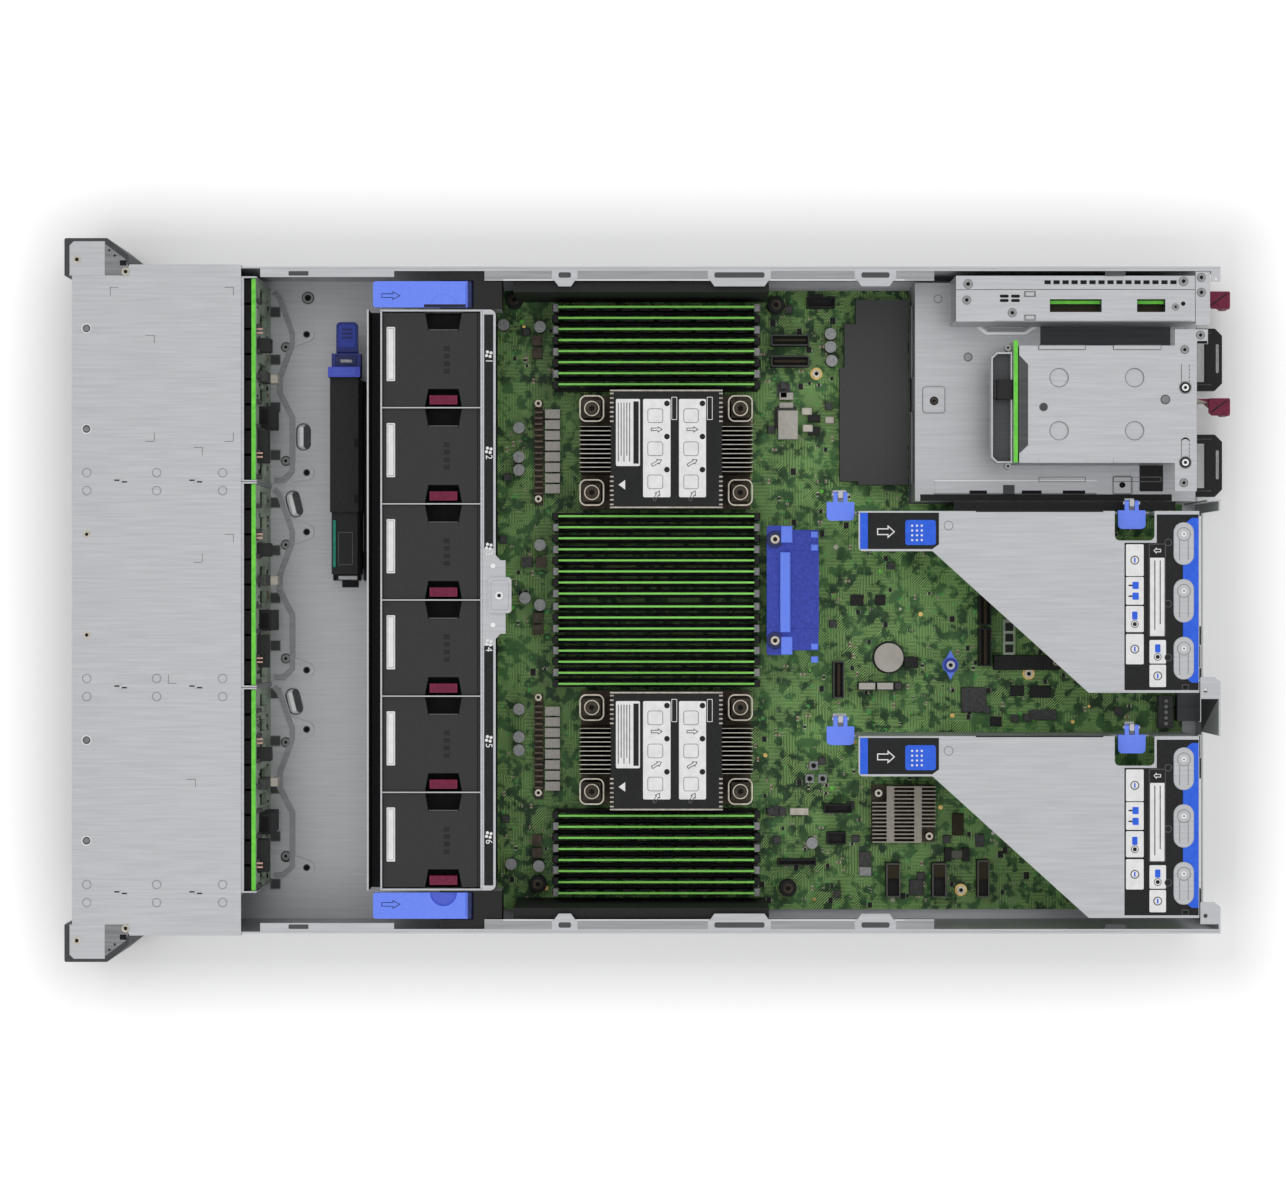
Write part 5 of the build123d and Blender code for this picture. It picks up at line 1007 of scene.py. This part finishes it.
# Drive fronts: a grille whose holes are black strips painted as their shade, a lever and a lamp ring on each
# drive
for bank in range(3):
    fronts = Form()
    x_middle = BAY_LEFT + (bank + 0.5) * BAY_PITCH
    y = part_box(f"drive_bank_{bank + 1}")[0].y / MM
    fronts.place = Matrix(((1, 0, 0, 0), (0, 0, -1, 0), (0, 1, 0, 0), (0, 0, 0, 1)))
    for n in range(8):
        x = x_middle + (n - 3.5) * DRIVE_PITCH
        fronts.pad(span(x, 4.9), (13, 65), 1.5, (-y - 2.5, -y - 1.2), PART_GREY, 0.6)
        # The grille's holes are black strips painted as their shade
        for k in range(11):
            fronts.box(span(x, 3.6), (16 + 4.2 * k, 17.8 + 4.2 * k), (-y - 1.3, -y - 1), BLACK_AND_RECESS_SHADE)
        fronts.pad(span(x, 5.6), (69, 81.5), 2, (-y, -y + 0.5), STEEL_DARK, 0.3)
        fronts.ring(x, 75.2, (2.8, 3.6), (-y + 0.5, -y + 0.8), LENS_GREEN, 24)
        fronts.pad(span(x, 5.6), (4, 9.6), 1.2, (-y, -y + 0.5), MAROON, 0.3)
    fronts.finish(f"drive_fronts_{bank + 1}", f"drive_bank_{bank + 1}", "drive_plastic")

# Power supplies: fan guard, inlet pins, a lamp, the slot in the handle's bar and the latch pad
for n in range(2):
    x0 = PSU_LEFT + n * PSU_PITCH
    rear = Form()
    rear.place = Matrix(((-1, 0, 0, 0), (0, 0, 1, 0), (0, 1, 0, 0), (0, 0, 0, 1)))
    fan_x, fan_z = -x0 - 21, 21.2
    for k in range(4):
        rear.ring(fan_x, fan_z, (2.7 + 3.6 * k, 3.4 + 3.6 * k), (365.7, 367.6), STEEL_BRIGHT, 28)
    for turn in (45, 135, 225, 315):
        out = Vector((cos(radians(turn)), sin(radians(turn))))
        side = Vector((out.y, -out.x)) * 0.6
        corners = [out * 2.2 + side, out * 14.6 + side, out * 14.6 - side, out * 2.2 - side]
        rear.prism([(fan_x + c.x, fan_z + c.y) for c in corners], (365.7, 366.8), STEEL_BRIGHT)
    for dx, dz in ((-7, -2), (7, -2), (0, 3)):
        rear.box((-x0 - 55 + dx, -x0 - 53 + dx), (26.5 + dz, 30.5 + dz), (352.6, 364), PIN_GOLD)
    rear.disc(-x0 - 21, 38.4, 1.2, (368.4, 368.8), LENS_GREEN, 14)
    rear.at()
    rear.pad((x0 + 38, x0 + 58), (387, 389), 0.9, (16.5, 16.6), CAN_GREY)
    for x in (x0 + 30.4, x0 + 66):
        rear.box(span(x, 0.4), (371, 384), (16.5, 16.7), PART_GREY)
    rear.finish(f"psu_rear_{n + 1}", f"psu_{n + 1}", "psu_case")
    pad = Form(x0)
    corner = [(3, 380.2), (3.8, 379.3), (13, 379.3), (14.9, 381.6), (14.9, 392.6), (13.6, 394.1),
              (3.8, 394.1), (3, 393.3)]
    pad.prism(corner, (29.9, 31.2), MAROON, 0.5)
    pad.prism([(4.2, 391.6), (12.2, 380.8), (12.9, 381.3), (4.9, 392.1)], (31.2, 31.4), LABEL_BLACK)
    pad.finish(f"psu_latch_pad_{n + 1}", f"psu_latch_{n + 1}", "maroon_plastic")

# Floor, light and camera
REACH = 6.0
DROP = 0.0003
ground = bpy.data.meshes.new("ground")
corners = [(x * REACH, y * REACH, -DROP) for x, y in ((-1, -1), (1, -1), (1, 1), (-1, 1))]
ground.from_pydata(corners, [], [(0, 1, 2, 3)])
ground.materials.append(FLOOR)
ground_piece = bpy.data.objects.new("ground", ground)
bpy.context.scene.collection.objects.link(ground_piece)

# The floor glows a little for the camera alone, more so away from the object, and fades to white; the weaker
# glow close to the object is a painted shadow round it
GLOW_NEAR, GLOW_FAR = 0.05, 0.34
GLOW_START, GLOW_END = 0.008, 0.06
tree = FLOOR.node_tree


def floor_math(operation, first, second=0.0):
    """Result of a Math node of the floor on one or two values."""
    made = add(tree, "Math", {0: first, 1: second})
    made.operation = operation
    return made.outputs[0]


spot = add(tree, "SeparateXYZ", {0: add(tree, "TexCoord", {}).outputs["Object"]})
squares = []
for axis in (0, 1):
    past = floor_math("SUBTRACT", floor_math("ABSOLUTE", spot.outputs[axis]), cad_box[1][axis])
    outside = floor_math("MAXIMUM", past, 0.0)
    squares.append(floor_math("MULTIPLY", outside, outside))
distance = floor_math("SQRT", floor_math("ADD", *squares))
# Painted shadow: the glow is least at the object's outline and grows to full strength further out
painted_shadow_fade = add(tree, "MapRange", {"From Min": GLOW_START, "From Max": GLOW_END, "To Min": GLOW_NEAR,
                              "To Max": GLOW_FAR, "Value": distance})
seen = floor_math("MULTIPLY", add(tree, "LightPath", {}).outputs["Is Camera Ray"], painted_shadow_fade.outputs["Result"])
glow = add(tree, "Emission", {"Strength": seen}).outputs["Emission"]
both = add(tree, "AddShader", {0: tree.nodes["Principled BSDF"].outputs["BSDF"], 1: glow})
feed(tree, tree.nodes["Material Output"], {"Surface": both.outputs["Shader"]})

# A white dome, a little brighter for the camera and in reflections
DOME = 0.86
world = bpy.data.worlds.new("studio")
bpy.context.scene.world = world
world.use_nodes = True
tree = world.node_tree
path = add(tree, "LightPath", {})
either = add(tree, "Math", {0: path.outputs["Is Camera Ray"], 1: path.outputs["Is Glossy Ray"]})
either.operation = "MAXIMUM"
level = add(tree, "MapRange", {"To Min": DOME, "To Max": 1.0, "Value": either.outputs[0]})
feed(tree, tree.nodes["Background"], {"Color": (1.0, 1.0, 1.0, 1.0), "Strength": level.outputs["Result"]})


def lamp(name, place, aim, size, power):
    """A soft square lamp that looks at a point."""
    light = bpy.data.lights.new(name, "AREA")
    light.size = size
    light.energy = power
    holder = bpy.data.objects.new(name, light)
    holder.location = place
    holder.rotation_mode = "QUATERNION"
    holder.rotation_quaternion = (Vector(aim) - Vector(place)).to_track_quat("-Z", "Y")
    bpy.context.scene.collection.objects.link(holder)


lamp("key", (-0.9, 0.5, 2.6), (0, 0, 0), 1.6, 2.2)
lamp("fill", (0.9, -0.5, 2.6), (0, 0, 0), 1.6, 1.8)

CAMERA_HEIGHT = 2.1116
CAMERA_Y = -0.00825
camera = bpy.data.objects.new("camera", bpy.data.cameras.new("camera"))
camera.data.lens = 85.0
camera.data.sensor_width = 36.0
camera.location = (0.0, CAMERA_Y, CAMERA_HEIGHT)
camera.rotation_euler = (0.0, 0.0, radians(90))
bpy.context.scene.collection.objects.link(camera)
bpy.context.scene.camera = camera
bpy.context.scene.view_settings.view_transform = "Standard"
